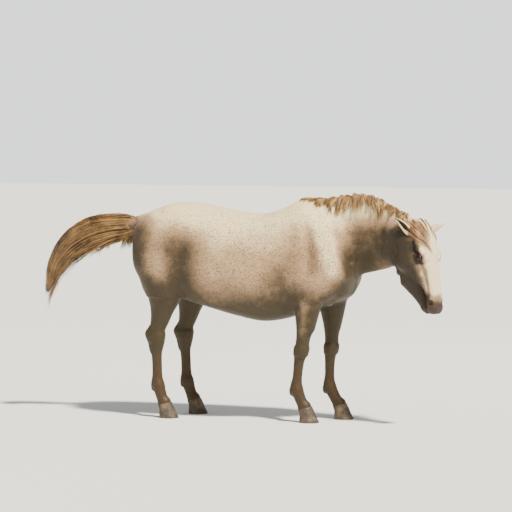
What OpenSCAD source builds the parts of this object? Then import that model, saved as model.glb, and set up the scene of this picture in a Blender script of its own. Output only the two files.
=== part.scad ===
// Walking horse ride figure: moulded shells on a welded steel frame, legs, neck, head, ears and tail on pins.
// X points to the nose, Y to the figure's left and Z up. The hooves stand on Z = 0. All sizes are in millimetres.

/* [Body] */
// Height of the withers
withers_h = 1490; // [1400:1:1560]
// Thickness of every moulded shell
shell_wall = 6; // [4:0.5:10]
// Half of the open seam between the two trunk shells
seam_half = 0.15; // [0.1:0.05:0.5]
// Largest half width of the barrel
barrel_half_w = 325; // [290:1:350]
// Half of the slot under the barrel that the service hatch closes
hatch_half_w = 90; // [60:1:110]

/* [Stance] */
// Distance of each foreleg from the middle plane
fore_track = 135; // [125:1:150]
// Distance of each hind leg from the middle plane
hind_track = 155; // [145:1:170]
// How far the right legs stand behind and the left legs ahead of their square stance
stance = 45; // [20:1:55]
// Height of the elbow pins
elbow_h = 800; // [780:1:815]
// Height of the stifle pins
stifle_h = 842; // [825:1:855]
// Length from the elbow pin to the knee pin
forearm_len = 320; // [300:1:330]
// Length from the knee pin to the fetlock pin of a foreleg
fore_cannon_len = 270; // [255:1:280]
// Length from the stifle pin to the hock pin
gaskin_len = 302; // [285:1:315]
// Length from the hock pin to the fetlock pin of a hind leg
hind_cannon_len = 325; // [310:1:340]
// Length from a fetlock pin to the middle of the hoof
pastern_len = 165; // [158:1:180]

/* [Joints] */
// Radius of every hinge pin
pin_r = 9; // [7:0.5:11]
// Gap between a pin and the bore that turns on it
pin_clear = 0.05; // [0.02:0.01:0.1]
// Gap between the faces of a lug and its fork
face_clear = 0.3; // [0.2:0.05:0.5]
// Wall left round a pin bore
lug_wall = 13; // [10:0.5:16]
// Width of each lug
lug_w = 24; // [20:1:30]
// Thickness of each fork cheek
cheek_t = 8; // [6:0.5:12]
// Outer radius of a limb tube
tube_r = 17; // [14:0.5:20]
// Wall of a limb tube
tube_wall = 3; // [2:0.5:4]
// Gap between a limb tube and the shell moulded to take it
tube_clear = 0.3; // [0.2:0.05:0.5]
// Radius kept open round each leg pin in the trunk shell
leg_arch_r = 128; // [120:1:135]

/* [Neck and head] */
// Radius of the ball at the root of the neck
neck_hub_r = 245; // [230:1:250]
// Gap between the neck and the trunk over the neck's travel
neck_gap = 10; // [6:1:16]
// Head turn to the right, in degrees
head_yaw = 30; // [26:1:34]
// Tilt of the head axis forward of plumb, in degrees
head_tilt = 11; // [5:1:14]
// Length of the head from poll to muzzle
head_len = 587; // [580:1:620]
// Radius of an eyeball
eye_r = 22; // [20:0.5:24]
// Length of an ear
ear_len = 145; // [130:1:160]

/* [Frame and drive] */
// Width and height of the square spine beam
beam_w = 60; // [50:1:70]
// Wall of the square frame tubes
beam_wall = 4; // [3:0.5:5]
// Height of the spine beam's middle
beam_h = 1215; // [1200:1:1235]
// Width of the square cross beams
cross_w = 44; // [38:1:50]
// Length, width and height of the battery
battery_size = [280, 170, 150];

/* [Hidden] */

// --- Places worked out from the sizes above ---
ZUP = [0, 0, 1];
YLEFT = [0, 1, 0];
figure_shift = [89, 0, 0];
lug_r = pin_r + lug_wall;
bridge_gap = lug_r + 5;
bridge_t = 9;
fork_top = bridge_gap + bridge_t;
fork_w = lug_w + 2 * (face_clear + cheek_t);
cheek_y = lug_w / 2 + face_clear;
bone_gap = fork_top + 4;
beam_front = 210;
beam_rear = -780;
elbow_x = 455;
stifle_x = -555;
hoof_mid_h = 65;
neck_root = [470, 0, 1210];
neck_mid = [820, -35, 1245];
head_pivot = [1140, -160, 1250];
tail_lift_at = [-812, 0, 1308];
tail_swing_at = [-882, 0, 1310];
pin_len = fork_w;
pin_head_r = pin_r + 4;
pin_head_t = 4;

// Outline of the barrel: x, drop of the top line below the withers, height of the underline, share of the half width
trunk_line = [
    [-862, 236, 1090, 0.18], [-835, 176, 992, 0.46], [-760, 108, 915, 0.69], [-640, 54, 852, 0.83],
    [-490, 28, 797, 0.90], [-300, 50, 742, 0.96], [-100, 90, 692, 1.00], [80, 98, 664, 0.99],
    [220, 54, 684, 0.93], [340, 0, 722, 0.82], [480, 22, 770, 0.75], [600, 105, 815, 0.66],
    [690, 276, 880, 0.50], [722, 368, 962, 0.26]
];
// Outlines of the muscled pods over the legs: height, x from the leg's pin, half length, half width
thigh_line = [[1320, 0, 90, 60], [1180, -15, 172, 108], [1050, -20, 192, 124], [930, -14, 152, 120], [868, -10, 124, 104]];
shoulder_line = [[1360, -30, 80, 55], [1230, 50, 128, 90], [1080, 92, 150, 102], [940, 60, 138, 98], [842, 14, 112, 88]];
// Limb outlines: depth below the upper pin, x offset, half length, half width
forearm_line = [[40, -4, 92, 76], [100, -2, 78, 66], [180, 2, 60, 52], [250, 2, 53, 46], [forearm_len - bone_gap, 2, 52, 46]];
fore_cannon_line = [[bone_gap, 0, 46, 42], [80, -2, 39, 33], [150, -3, 35, 28],
    [fore_cannon_len - 70, -4, 39, 33], [fore_cannon_len - bone_gap, -6, 44, 38]];
gaskin_line = [[40, 0, 112, 92], [110, 2, 84, 68], [190, -2, 70, 52], [gaskin_len - bone_gap, -10, 62, 46]];
hind_cannon_line = [[bone_gap, -8, 56, 42], [100, -4, 44, 34], [190, -2, 38, 30],
    [hind_cannon_len - 75, -4, 41, 34], [hind_cannon_len - bone_gap, -6, 46, 39]];
// Outline of the neck: x, y, top, bottom, half width, turn to the right in degrees
neck_line = [
    [470, 0, 1470, 966, 118, 0], [600, 0, 1505, 972, 124, 0], [700, -8, 1515, 985, 116, 4], [780, -24, 1511, 1002, 108, 8],
    [860, -46, 1496, 1020, 102, 14], [960, -84, 1458, 1046, 94, 20], [1044, -121, 1414, 1084, 86, 25]
];
// Outlines of the head and the jaw: distance from the poll, front edge, back edge, half width
head_line = [
    [-22, -50, -130, 46], [12, -8, -180, 76], [90, 10, -252, 96], [180, 14, -286, 105], [255, 6, -272, 99],
    [292, 0, -225, 88], [320, -3, -126, 78],
    [head_len - 192, -8, -101, 63], [head_len - 97, -14, -88, 57], [head_len - 27, -24, -84, 55], [head_len, -44, -78, 38]
];
jaw_line = [
    [334, -130, -226, 44], [head_len - 197, -106, -200, 42], [head_len - 97, -94, -160, 39],
    [head_len - 39, -91, -143, 38], [head_len - 14, -94, -130, 26]
];
// Path of the tail: x, z, half height, half width
tail_line = [
    [-935, 1296, 46, 38], [-990, 1292, 76, 52], [-1080, 1280, 104, 62], [-1180, 1250, 116, 66],
    [-1290, 1196, 104, 60], [-1390, 1112, 84, 50], [-1462, 1000, 58, 34], [-1502, 880, 32, 20], [-1518, 800, 9, 8]
];
// Path of the mane over the upper neck: x, y, base height, rise, half width
mane_line = [[868, -49, 1488, 34, 16], [930, -72, 1466, 46, 22], [1000, -102, 1434, 50, 24], [1046, -122, 1410, 42, 18]];

hatch_from = 6.1;
hatch_to = 7.6;
hatch_gap = 1;
screw_rows = [6.3, 6.85, 7.4];
screw_y = hatch_half_w - 13;
screw_r = 3;

lip_gap = 0.2;
seat_gap = 0.3;
pin_tight = 0.02;
tail_stem = unit([1.2, 0, -1]);
tail_hole_r = 88;
hatch_frame_top = 716;
screw_head_r = 6;
barrel_power = 0.88;
croup_row = 4;
back_row = 7;
fore_post_x = 176;
fore_cross_z = 928;
hind_cross_z = 970;
actuator_r = 30;
actuator_len = 78;
tray_h = 850;
tray_from = -330;
tray_to = 120;
tray_w = 190;
neck_split_x = 820;
neck_split_gap = 38;
eye_post_r = 8;
jaw_arm_l = 38;
dock_len = 250;
ear_line = [[0, 20, 17], [0.2, 28, 17], [0.45, 31, 14], [0.7, 22, 10], [0.9, 9, 6], [1, 3, 3]];
forelock_line = [[-14, -20, -80, 30], [30, 14, -60, 34], [90, 26, -60, 26], [150, 24, -40, 14], [190, 17, -20, 6]];
hoof_line = [[0, 16, 70, 62], [8, 15, 69, 61], [50, 4, 56, 52], [98, -10, 46, 44]];

function sgn_pow(v, p) = sign(v) * pow(abs(v), p);
function unit(v) = v / norm(v);

// A row of a table at a fractional place, on a Catmull-Rom curve through the rows
function row_at(table, place) =
    let (last = len(table) - 1, i = min(floor(place), last - 1), t = place - i)
    let (a = table[max(i - 1, 0)], b = table[i], c = table[i + 1], d = table[min(i + 2, last)])
    0.5 * (2 * b + (c - a) * t + (2 * a - 5 * b + 4 * c - d) * t * t + (3 * b - a - 3 * c + d) * t * t * t);
function rows_of(table, per_span) = [for (i = [0 : (len(table) - 1) * per_span]) row_at(table, i / per_span)];

// Closed oval of points round a centre, across u by half_u and along v by half_v
function oval(centre, u, v, half_u, half_v, sides = 24, power = 0.9) = [
    for (k = [0 : sides - 1])
        centre + u * half_u * sgn_pow(cos(360 * k / sides), power) + v * half_v * sgn_pow(sin(360 * k / sides), power)
];

// Solid skinned over a row of ovals that all have the same number of points
module skin(rings) {
    n = len(rings[0]);
    m = len(rings);
    polyhedron(
        points = [for (ring = rings) each ring],
        faces = concat(
            [[for (k = [0 : n - 1]) k]],
            [for (i = [0 : m - 2], k = [0 : n - 1]) [(i + 1) * n + k, i * n + (k + 1) % n, i * n + k]],
            [for (i = [0 : m - 2], k = [0 : n - 1]) [(i + 1) * n + k, (i + 1) * n + (k + 1) % n, i * n + (k + 1) % n]],
            [[for (k = [n - 1 : -1 : 0]) (m - 1) * n + k]]
        )
    );
}

// Puts its child's origin at a point, with the child's Y along y and its Z as near z as that allows
module at(point, y, z) {
    yy = unit(y);
    xx = unit(cross(yy, z));
    zz = cross(xx, yy);
    multmatrix([
        [xx.x, yy.x, zz.x, point.x], [xx.y, yy.y, zz.y, point.y], [xx.z, yy.z, zz.z, point.z], [0, 0, 0, 1]
    ])
        children();
}
module along_y(r, from, to) {
    translate([0, from, 0]) rotate([-90, 0, 0]) cylinder(r = r, h = to - from, $fn = 48);
}
// Puts its child's origin at p with its Z towards q
module toward(p, q) {
    at(p, cross(cross(q - p, YLEFT), q - p), q - p) children();
}
module tube_between(p, q, r = tube_r, wall = tube_wall) {
    toward(p, q)
        difference() {
            cylinder(r = r, h = norm(q - p), $fn = 40);
            translate([0, 0, wall]) cylinder(r = r - wall, h = norm(q - p) - 2 * wall, $fn = 40);
        }
}
// Eye of a hinge with its neck running down -Z
module lug(bore_r, neck = bridge_gap + 3) {
    difference() {
        union() {
            along_y(lug_r, -lug_w / 2, lug_w / 2);
            translate([-lug_r * 0.6, -lug_w / 2, -neck]) cube([lug_r * 1.2, lug_w, neck]);
        }
        along_y(bore_r, -lug_w, lug_w);
    }
}
// Two cheeks round a lug, joined by a bridge above it
module fork(bore_r, rise = fork_top) {
    difference() {
        for (side = [0, 1]) mirror([0, side, 0]) {
            along_y(lug_r, cheek_y, cheek_y + cheek_t);
            translate([-lug_r, cheek_y, 0]) cube([2 * lug_r, cheek_t, rise]);
        }
        along_y(bore_r, -fork_w, fork_w);
    }
    translate([-lug_r, -fork_w / 2, rise - bridge_t]) cube([2 * lug_r, fork_w, bridge_t]);
}
// Pin through a fork, its head on the +Y side and its other end flush
module clevis_pin() {
    along_y(pin_r, -pin_len / 2, pin_len / 2);
    along_y(pin_head_r, pin_len / 2, pin_len / 2 + pin_head_t);
}

// --- Places of the legs: side is -1 on the right and 1 on the left ---
fore_swing = [-9, -2];
fore_cannon_tilt = [-6, -1];
hind_swing = [-10, -9];
hind_cannon_tilt = [1, 2];
function lean(angle, length) = [length * sin(angle), 0, -length * cos(angle)];
function elbow(side) = [elbow_x + side * stance, side * fore_track, elbow_h];
function stifle(side) = [stifle_x + side * stance, side * hind_track, stifle_h];
function pick(pair, side) = side < 0 ? pair[0] : pair[1];
function knee(side) = elbow(side) + lean(pick(fore_swing, side), forearm_len);
function hock(side) = stifle(side) + lean(pick(hind_swing, side), gaskin_len);
function fore_fetlock(side) = knee(side) + lean(pick(fore_cannon_tilt, side), fore_cannon_len);
function hind_fetlock(side) = hock(side) + lean(pick(hind_cannon_tilt, side), hind_cannon_len);
function pastern_tilt(fetlock) = acos(min(1, (fetlock.z - hoof_mid_h) / pastern_len));
module limb(top, tilt) {
    translate(top) rotate([0, -tilt, 0]) children();
}

// --- Places of the head: n points out of the forehead, d down to the muzzle and l to the figure's left ---
head_f = [cos(head_yaw), -sin(head_yaw), 0];
head_l = [sin(head_yaw), cos(head_yaw), 0];
head_d = head_f * sin(head_tilt) - ZUP * cos(head_tilt);
head_n = head_f * cos(head_tilt) + ZUP * sin(head_tilt);
poll = head_pivot + 165 * head_n - 70 * head_d;
function on_head(s, n, l) = poll + s * head_d + n * head_n + l * head_l;
jaw_s = 150;
jaw_n = -150;
eye_s = 215;
eye_n = -52;
eye_out = 82;
function eye_at(side) = on_head(eye_s, eye_n, side * eye_out);
lid_in = eye_r + 0.4;
lid_out = lid_in + 2.2;
function ear_way(side) = unit(side < 0 ? -0.45 * head_l - head_d : 0.82 * head_l - 0.57 * head_d);
// Height of the ear's foot along its own post, and the post under it
ear_rise = 48;
boss_r = 21;
boss_len = ear_rise - 2;
function ear_root(side) = on_head(55, -115, side * 68) + ear_rise * ear_way(side);

// --- Trunk ---
module barrel(inset) {
    skin([for (r = rows_of(trunk_line, 2))
        let (top = withers_h - r[1] - inset, low = r[2] + inset)
        oval([r[0], 0, (top + low) / 2], YLEFT, ZUP, r[3] * barrel_half_w - inset, (top - low) / 2, 24, barrel_power)]);
}
module pod(table, centre, inset) {
    skin([for (r = rows_of(table, 2))
        oval([centre.x + r[1], centre.y, r[0]], YLEFT, [1, 0, 0], r[3] - inset, r[2] - inset, 20, 0.9)]);
}
module trunk_form(inset) {
    difference() {
        barrel(inset);
        // The rear and front walls stay closed by the same inset
        if (inset > 0) for (x = [trunk_line[0][0] - 100 + inset, trunk_line[len(trunk_line) - 1][0] - inset])
            translate([x, -500, 0]) cube([100, 1000, 2000]);
    }
    for (side = [-1, 1]) {
        pod(thigh_line, stifle(side), inset);
        pod(shoulder_line, elbow(side), inset);
    }
}
module neck_form(inset, from, to) {
    skin([for (r = rows_of(neck_line, 2)) if (r[0] >= from && r[0] <= to)
        let (top = r[2] - inset, low = r[3] + inset)
        oval(
            [r[0], r[1], (top + low) / 2], [sin(r[5]), cos(r[5]), 0], ZUP,
            r[4] - inset, (top - low) / 2, 24, 0.9
        )]);
}
module neck_ball(inset) {
    translate(neck_root)
        resize(2 * [neck_hub_r - inset, neck_line[0][4] + 4 - inset, neck_hub_r - inset])
            rotate([90, 0, 0]) sphere(r = neck_hub_r, $fn = 48);
}
// Space of the service hatch, grown or shrunk on its four sides
module hatch_prism(grow) {
    translate([trunk_x(hatch_from) - grow, -hatch_half_w - grow, 0])
        cube([trunk_x(hatch_to) - trunk_x(hatch_from) + 2 * grow, 2 * (hatch_half_w + grow), 900]);
}
function trunk_x(place) = row_at(trunk_line, place)[0];
// Point on the barrel's underside at a row of its outline
function screw_point(place, side) =
    let (r = row_at(trunk_line, place), top = withers_h - r[1], half = (top - r[2]) / 2)
    let (share = pow(screw_y / (r[3] * barrel_half_w), 1 / barrel_power))
    [r[0], side * screw_y, (top + r[2]) / 2 - half * pow(sqrt(1 - share * share), barrel_power)];

module trunk_shell(side) {
    color("wheat") difference() {
        union() {
            difference() {
                trunk_form(0);
                trunk_form(shell_wall);
            }
            // Flat-topped frame round the hatch opening, which takes the hatch screws
            intersection() {
                barrel(shell_wall / 2);
                hatch_prism(15);
                translate([-500, -500, 0]) cube([1000, 1000, hatch_frame_top]);
            }
        }
        translate([-2000, side < 0 ? -seam_half : seam_half - 1000, 0]) cube([4000, 1000, 2000]);
        difference() {
            hatch_prism(0);
            barrel(shell_wall + lip_gap);
        }
        hatch_prism(-24);
        neck_ball(-neck_gap);
        for (lift = [-20, -10, 0, 12]) translate(neck_root) rotate([0, lift, 0]) translate(-neck_root)
            neck_form(-neck_gap, 470, 860);
        for (leg = [elbow(side), stifle(side)]) translate([leg.x, 0, leg.z])
            along_y(leg_arch_r, side < 0 ? -400 : 34, side < 0 ? -34 : 400);
        translate(tail_swing_at - [0, 0, 16]) sphere(r = tail_hole_r, $fn = 40);
        for (place = screw_rows) translate(screw_point(place, side))
            cylinder(r = screw_r + 0.3, h = 40, center = true, $fn = 24);
    }
}
module belly_hatch() {
    color("tan") difference() {
        intersection() {
            difference() {
                barrel(0);
                barrel(shell_wall);
            }
            hatch_prism(-hatch_gap);
        }
        for (place = screw_rows, side = [-1, 1]) translate(screw_point(place, side)) {
            cylinder(r = screw_r + 0.3, h = 40, center = true, $fn = 24);
            translate([0, 0, 1 - 20]) cylinder(r = screw_head_r + 0.5, h = 20, $fn = 24);
        }
    }
}
module hatch_screws() {
    color("silver") for (place = screw_rows, side = [-1, 1]) translate(screw_point(place, side)) {
        cylinder(r = screw_r, h = 2 * shell_wall + 2, $fn = 24);
        translate([0, 0, -2]) cylinder(r = screw_head_r, h = 3, $fn = 24);
    }
}

// --- Frame ---
module square_tube(size) {
    // size is the outside, and the tube runs along its longest side
    long = max(size);
    hollow = [for (s = size) s == long ? s - 2 * beam_wall : s - 2 * beam_wall];
    difference() {
        cube(size, center = true);
        cube(hollow, center = true);
    }
}
function barrel_inside_top(row) = withers_h - trunk_line[row][1] - shell_wall;
module shell_post(row) {
    top = barrel_inside_top(row);
    low = beam_h + beam_w / 2;
    intersection() {
        translate([trunk_line[row][0], 0, 0]) {
            translate([-15, -15, low]) cube([30, 30, top - low]);
            translate([-30, -18, top - 7]) cube([60, 36, 20]);
        }
        barrel(shell_wall + seat_gap);
    }
}
module spine_beam() {
    color("dimgray") {
        translate([(beam_front + beam_rear) / 2, 0, beam_h]) square_tube([beam_front - beam_rear, beam_w, beam_w]);
        shell_post(croup_row);
        shell_post(back_row);
        // Yoke for the neck: the fork's stem lies along the beam
        at(neck_root, YLEFT, [-1, 0, 0]) fork(pin_r + pin_tight, rise = neck_root.x - beam_front + bridge_t);
        // Bracket for the tail
        at(tail_lift_at, YLEFT, tail_stem) fork(pin_r + pin_tight, rise = (tail_lift_at.z - beam_h) / -tail_stem.z);
    }
}
// Fork for a leg, with the block and the arm that carry it to its cross beam
module hanger(pin_at, cross_x, cross_z) {
    rise = cross_z + cross_w / 2 - pin_at.z;
    translate(pin_at) fork(pin_r + pin_tight, rise = fork_top);
    translate([pin_at.x - lug_r, pin_at.y - fork_w / 2, pin_at.z + fork_top - 1])
        cube([2 * lug_r, fork_w, rise - fork_top + 1]);
    translate([min(pin_at.x, cross_x), pin_at.y - fork_w / 2, cross_z - cross_w / 2])
        cube([abs(cross_x - pin_at.x), fork_w, cross_w]);
}
module leg_frame(post_x, cross_x, cross_z, track, pins) {
    low = cross_z - cross_w / 2;
    top = beam_h - beam_w / 2;
    translate([post_x, 0, (low + top) / 2]) square_tube([cross_w, cross_w, top - low]);
    translate([cross_x, 0, cross_z]) square_tube([cross_w, 2 * track - fork_w + 2, cross_w]);
    if (abs(post_x - cross_x) > cross_w)
        translate([(post_x + cross_x) / 2, 0, cross_z])
            square_tube([abs(cross_x - post_x) - cross_w + 2, cross_w - 2, cross_w - 2]);
    for (pin_at = pins) {
        hanger(pin_at, cross_x, cross_z);
        translate([cross_x - cross_w / 2, pin_at.y - fork_w / 2, cross_z - cross_w / 2]) cube([cross_w, fork_w, cross_w]);
    }
}
module fore_frame() {
    color("dimgray") leg_frame(fore_post_x, elbow_x, fore_cross_z, fore_track, [elbow(-1), elbow(1)]);
}
module hind_frame() {
    color("dimgray") leg_frame(stifle_x, stifle_x, hind_cross_z, hind_track, [stifle(-1), stifle(1)]);
}
module frame_pins() {
    color("silver") {
        for (side = [-1, 1], leg = [elbow(side), stifle(side)]) translate(leg) mirror([0, side < 0 ? 1 : 0, 0]) clevis_pin();
        translate(neck_root) clevis_pin();
        translate(tail_lift_at) clevis_pin();
    }
}
// Rotary gearmotor on the inner cheek of each leg fork
module leg_actuators() {
    color("darkslategray") for (side = [-1, 1], leg = [elbow(side), stifle(side)])
        translate([leg.x, 0, leg.z]) mirror([0, side < 0 ? 1 : 0, 0]) {
            inner = abs(leg.y) - fork_w / 2;
            along_y(actuator_r, inner - actuator_len, inner - 6);
            along_y(actuator_r * 0.6, inner - 7, inner);
        }
}
module machine_tray() {
    top = beam_h - beam_w / 2;
    color("gray") {
        translate([tray_from, -tray_w / 2, tray_h]) cube([tray_to - tray_from, tray_w, 4]);
        for (y = [-tray_w / 2, tray_w / 2 - 4]) translate([tray_from, y, tray_h]) cube([tray_to - tray_from, 4, 30]);
        for (x = [tray_from, tray_to - 5]) translate([x, -beam_w / 2, tray_h]) cube([5, beam_w, top - tray_h]);
    }
}
module battery() {
    color("black") translate([tray_from + 12, -battery_size.y / 2, tray_h + 4]) {
        cube(battery_size);
        for (x = [60, battery_size.x - 60]) translate([x, battery_size.y / 2, battery_size.z - 1]) cylinder(r = 9, h = 14, $fn = 24);
    }
}
module control_box() {
    box = [tray_to - tray_from - battery_size.x - 34, 150, 120];
    color("steelblue") translate([tray_from + battery_size.x + 22, -box.y / 2, tray_h + 4]) {
        cube(box);
        translate([box.x / 2, box.y / 2, box.z - 1]) cylinder(r = 14, h = 10, $fn = 24);
    }
}

// --- Neck ---
module hollow_for_bones(p, q, r) {
    toward(p, q) translate([0, 0, -30]) cylinder(r = r, h = norm(q - p) + 60, $fn = 32);
}
module neck_lower_shell() {
    color("wheat") difference() {
        union() {
            neck_form(0, 470, neck_split_x - neck_split_gap);
            neck_ball(0);
        }
        neck_form(shell_wall, 470 - 1, neck_split_x - neck_split_gap - shell_wall);
        neck_ball(shell_wall);
        // Slot for the yoke, open to the rear
        translate([neck_root.x - 400, -fork_w / 2 - 8, neck_root.z - 400]) cube([400, fork_w + 16, 800]);
        // Seat of the tube in the front wall
        hollow_for_bones(neck_root, neck_mid, tube_r + tube_clear);
    }
}
module neck_lower_bone() {
    way = unit(neck_mid - neck_root);
    color("dimgray") {
        at(neck_root, YLEFT, -way) lug(pin_r + pin_clear);
        tube_between(neck_root + bridge_gap * way, neck_mid - (fork_top - 1) * way);
        at(neck_mid, ZUP, -way) fork(pin_r + pin_clear);
    }
}
module neck_upper_shell() {
    color("wheat") difference() {
        neck_form(0, neck_split_x + neck_split_gap, 2000);
        neck_form(shell_wall, neck_split_x + neck_split_gap + shell_wall, neck_line[len(neck_line) - 1][0] - shell_wall);
        hollow_for_bones(neck_mid, head_pivot, tube_r + tube_clear);
    }
}
module neck_upper_bone() {
    way = unit(head_pivot - neck_mid);
    color("dimgray") {
        at(neck_mid, ZUP, -way) lug(pin_r + pin_tight);
        tube_between(neck_mid + bridge_gap * way, head_pivot - (fork_top - 1) * way);
        at(head_pivot, head_l, -way) fork(pin_r + pin_clear);
    }
}
module neck_turn_pin() {
    color("silver") at(neck_mid, ZUP, [-1, 0, 0]) clevis_pin();
}
module mane() {
    color("goldenrod") difference() {
        skin([for (r = rows_of(mane_line, 3))
            oval([r[0], r[1], r[2] + r[3] / 2 - 6], [sin(18), cos(18), 0], ZUP, r[4], r[3] / 2 + 8, 16, 1)]);
        neck_form(-0.3, neck_split_x + neck_split_gap - 20, 2000);
    }
}

// --- Head ---
module head_skin(table, inset, from, to) {
    skin([for (r = rows_of(table, 2)) if (r[0] >= from && r[0] <= to)
        oval(on_head(r[0], (r[1] + r[2]) / 2, 0), head_l, head_n, r[3] - inset, (r[1] - r[2]) / 2 - inset, 24, 0.92)]);
}
module in_head(s, n) {
    // Child's X is l, its Y is n and its Z is d
    multmatrix([
        [head_l.x, head_n.x, head_d.x, on_head(s, n, 0).x], [head_l.y, head_n.y, head_d.y, on_head(s, n, 0).y],
        [head_l.z, head_n.z, head_d.z, on_head(s, n, 0).z], [0, 0, 0, 1]
    ])
        children();
}
module head_shell() {
    color("antiquewhite") difference() {
        union() {
            head_skin(head_line, 0, -100, 700);
            for (side = [-1, 1]) at(ear_root(side), head_n, ear_way(side)) translate([0, 0, -boss_len]) cylinder(r = boss_r, h = boss_len, $fn = 32);
        }
        head_skin(head_line, shell_wall, -15, 590);
        // Way in for the neck's fork
        at(head_pivot, head_l, head_pivot - neck_mid) translate([0, 0, -60]) cube([150, fork_w + 24, 190], center = true);
        // Opening for the jaw's arms
        in_head(308, -180) cube([100, 130, 96], center = true);
        for (side = [-1, 1]) translate(eye_at(side)) sphere(r = lid_out + 0.5, $fn = 40);
    }
}
// Plate down the middle of the skull, the tube that carries the eyes and the eye of the nod hinge
module head_bone() {
    color("dimgray") difference() {
        union() {
            at(head_pivot, head_l, -head_d) lug(pin_r + pin_tight, neck = 40);
            in_head(70, -165) translate([-4, -15, 30]) cube([8, 160, 60]);
            in_head(70, -165) translate([-4, -16, 30]) cube([8, 32, 130]);
            at(on_head(eye_s, eye_n, 0), [0, 0, 1], head_l) cylinder(r = eye_post_r, h = 2 * (eye_out - eye_r + 7), center = true, $fn = 24);
            in_head(120, -60) translate([-4, -10, 0]) cube([8, 20, eye_s - 120]);
            in_head(jaw_s, jaw_n) rotate([0, 90, 0]) cylinder(r = pin_r + 10, h = 2 * (jaw_arm_l - 3.3), center = true, $fn = 40);
        }
        in_head(jaw_s, jaw_n) rotate([0, 90, 0]) cylinder(r = pin_r - 2 + pin_tight, h = 200, center = true, $fn = 40);
    }
}
module head_pins() {
    color("silver") {
        at(head_pivot, head_l, ZUP) clevis_pin();
        in_head(jaw_s, jaw_n) rotate([0, 90, 0]) cylinder(r = pin_r - 2, h = 2 * (jaw_arm_l + 6), center = true, $fn = 40);
    }
}
module eye(side) {
    color("black") difference() {
        translate(eye_at(side)) sphere(r = eye_r, $fn = 48);
        at(on_head(eye_s, eye_n, 0), [0, 0, 1], head_l) cylinder(r = eye_post_r + 0.3, h = 2 * (eye_out - eye_r + 7.5), center = true, $fn = 24);
    }
}
// Quarter of a hollow ball over the front and top of the eye
module eyelid(side) {
    color("tan") in_head(eye_s, eye_n) mirror([side < 0 ? 1 : 0, 0, 0]) translate([eye_out, 0, 0]) difference() {
        sphere(r = lid_out, $fn = 48);
        sphere(r = lid_in, $fn = 48);
        // Cut open towards the middle of the head, and below the rim
        translate([-120 - 4, -60, -60]) cube([120, 120, 120]);
        rotate([0, 0, 24]) translate([-60, -120 + 3, -60]) cube([120, 120, 120]);
    }
}
module lower_jaw() {
    color("tan") {
        head_skin(jaw_line, 0, 300, 700);
        for (side = [-1, 1]) difference() {
            union() {
                in_head(jaw_s, jaw_n) translate([side * jaw_arm_l - 3, -14, 0]) cube([6, 26, 205]);
                in_head(jaw_s, jaw_n) translate([side * jaw_arm_l - 3, 0, 0]) rotate([0, 90, 0]) cylinder(r = pin_r + 8, h = 6, $fn = 40);
            }
            in_head(jaw_s, jaw_n) rotate([0, 90, 0]) cylinder(r = pin_r - 2 + pin_clear, h = 200, center = true, $fn = 40);
        }
    }
}
module ear(side) {
    way = ear_way(side);
    across = unit(cross(head_n, way));
    front = unit(cross(way, across));
    color("antiquewhite") skin([for (r = rows_of(ear_line, 2))
        oval(ear_root(side) + way * (0.3 + r[0] * ear_len), across, front, r[1], r[2], 16, 1)]);
}
module forelock() {
    color("goldenrod") difference() {
        head_skin(forelock_line, 0, -100, 700);
        head_skin(head_line, -0.3, -100, 700);
        for (side = [-1, 1]) at(ear_root(side), head_n, ear_way(side)) translate([0, 0, -boss_len - 4]) cylinder(r = boss_r + 0.5, h = boss_len + 14, $fn = 32);
    }
}

// --- Tail ---
module tail_yoke() {
    color("dimgray") {
        at(tail_lift_at, YLEFT, [1, 0, 0]) lug(pin_r + pin_clear, neck = bridge_gap);
        at(tail_swing_at, ZUP, [1, 0, 0]) fork(pin_r, rise = tail_lift_at.x - tail_swing_at.x - bridge_gap + 4);
        at(tail_swing_at, ZUP, [1, 0, 0]) along_y(pin_r, -pin_len / 2, pin_len / 2);
    }
}
module tail_dock() {
    color("tan") {
        at(tail_swing_at, ZUP, [1, 0, 0]) lug(pin_r + pin_clear);
        translate(tail_swing_at - [bridge_gap, 0, 0]) rotate([0, -90, 0]) cylinder(r1 = 24, r2 = 13, h = dock_len, $fn = 32);
    }
}
module tail_hair() {
    color("darkgoldenrod") difference() {
        skin([for (i = [0 : (len(tail_line) - 1) * 2])
            let (r = row_at(tail_line, i / 2), a = row_at(tail_line, max(i / 2 - 0.2, 0)), b = row_at(tail_line, min(i / 2 + 0.2, len(tail_line) - 1)))
            let (way = unit([b[0] - a[0], 0, b[1] - a[1]]))
            oval([r[0], 0, r[1]], YLEFT, unit(cross(way, YLEFT)), r[3], r[2], 16, 1)]);
        translate(tail_swing_at - [bridge_gap, 0, 0]) rotate([0, -90, 0]) cylinder(r1 = 24.3, r2 = 13.3, h = dock_len + 0.3, $fn = 32);
        translate(tail_swing_at) sphere(r = 40, $fn = 24);
    }
}

// --- Legs ---
// Solid skinned down a limb table, in the limb's own frame
module limb_form(table) {
    skin([for (r = rows_of(table, 2)) oval([r[1], 0, -r[0]], YLEFT, [1, 0, 0], r[3], r[2], 24, 0.95)]);
}
module limb_shell(table, from, to) {
    difference() {
        limb_form(table);
        translate([0, 0, -to - 5]) cylinder(r = tube_r + tube_clear, h = to - from + 10, $fn = 40);
    }
}
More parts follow.
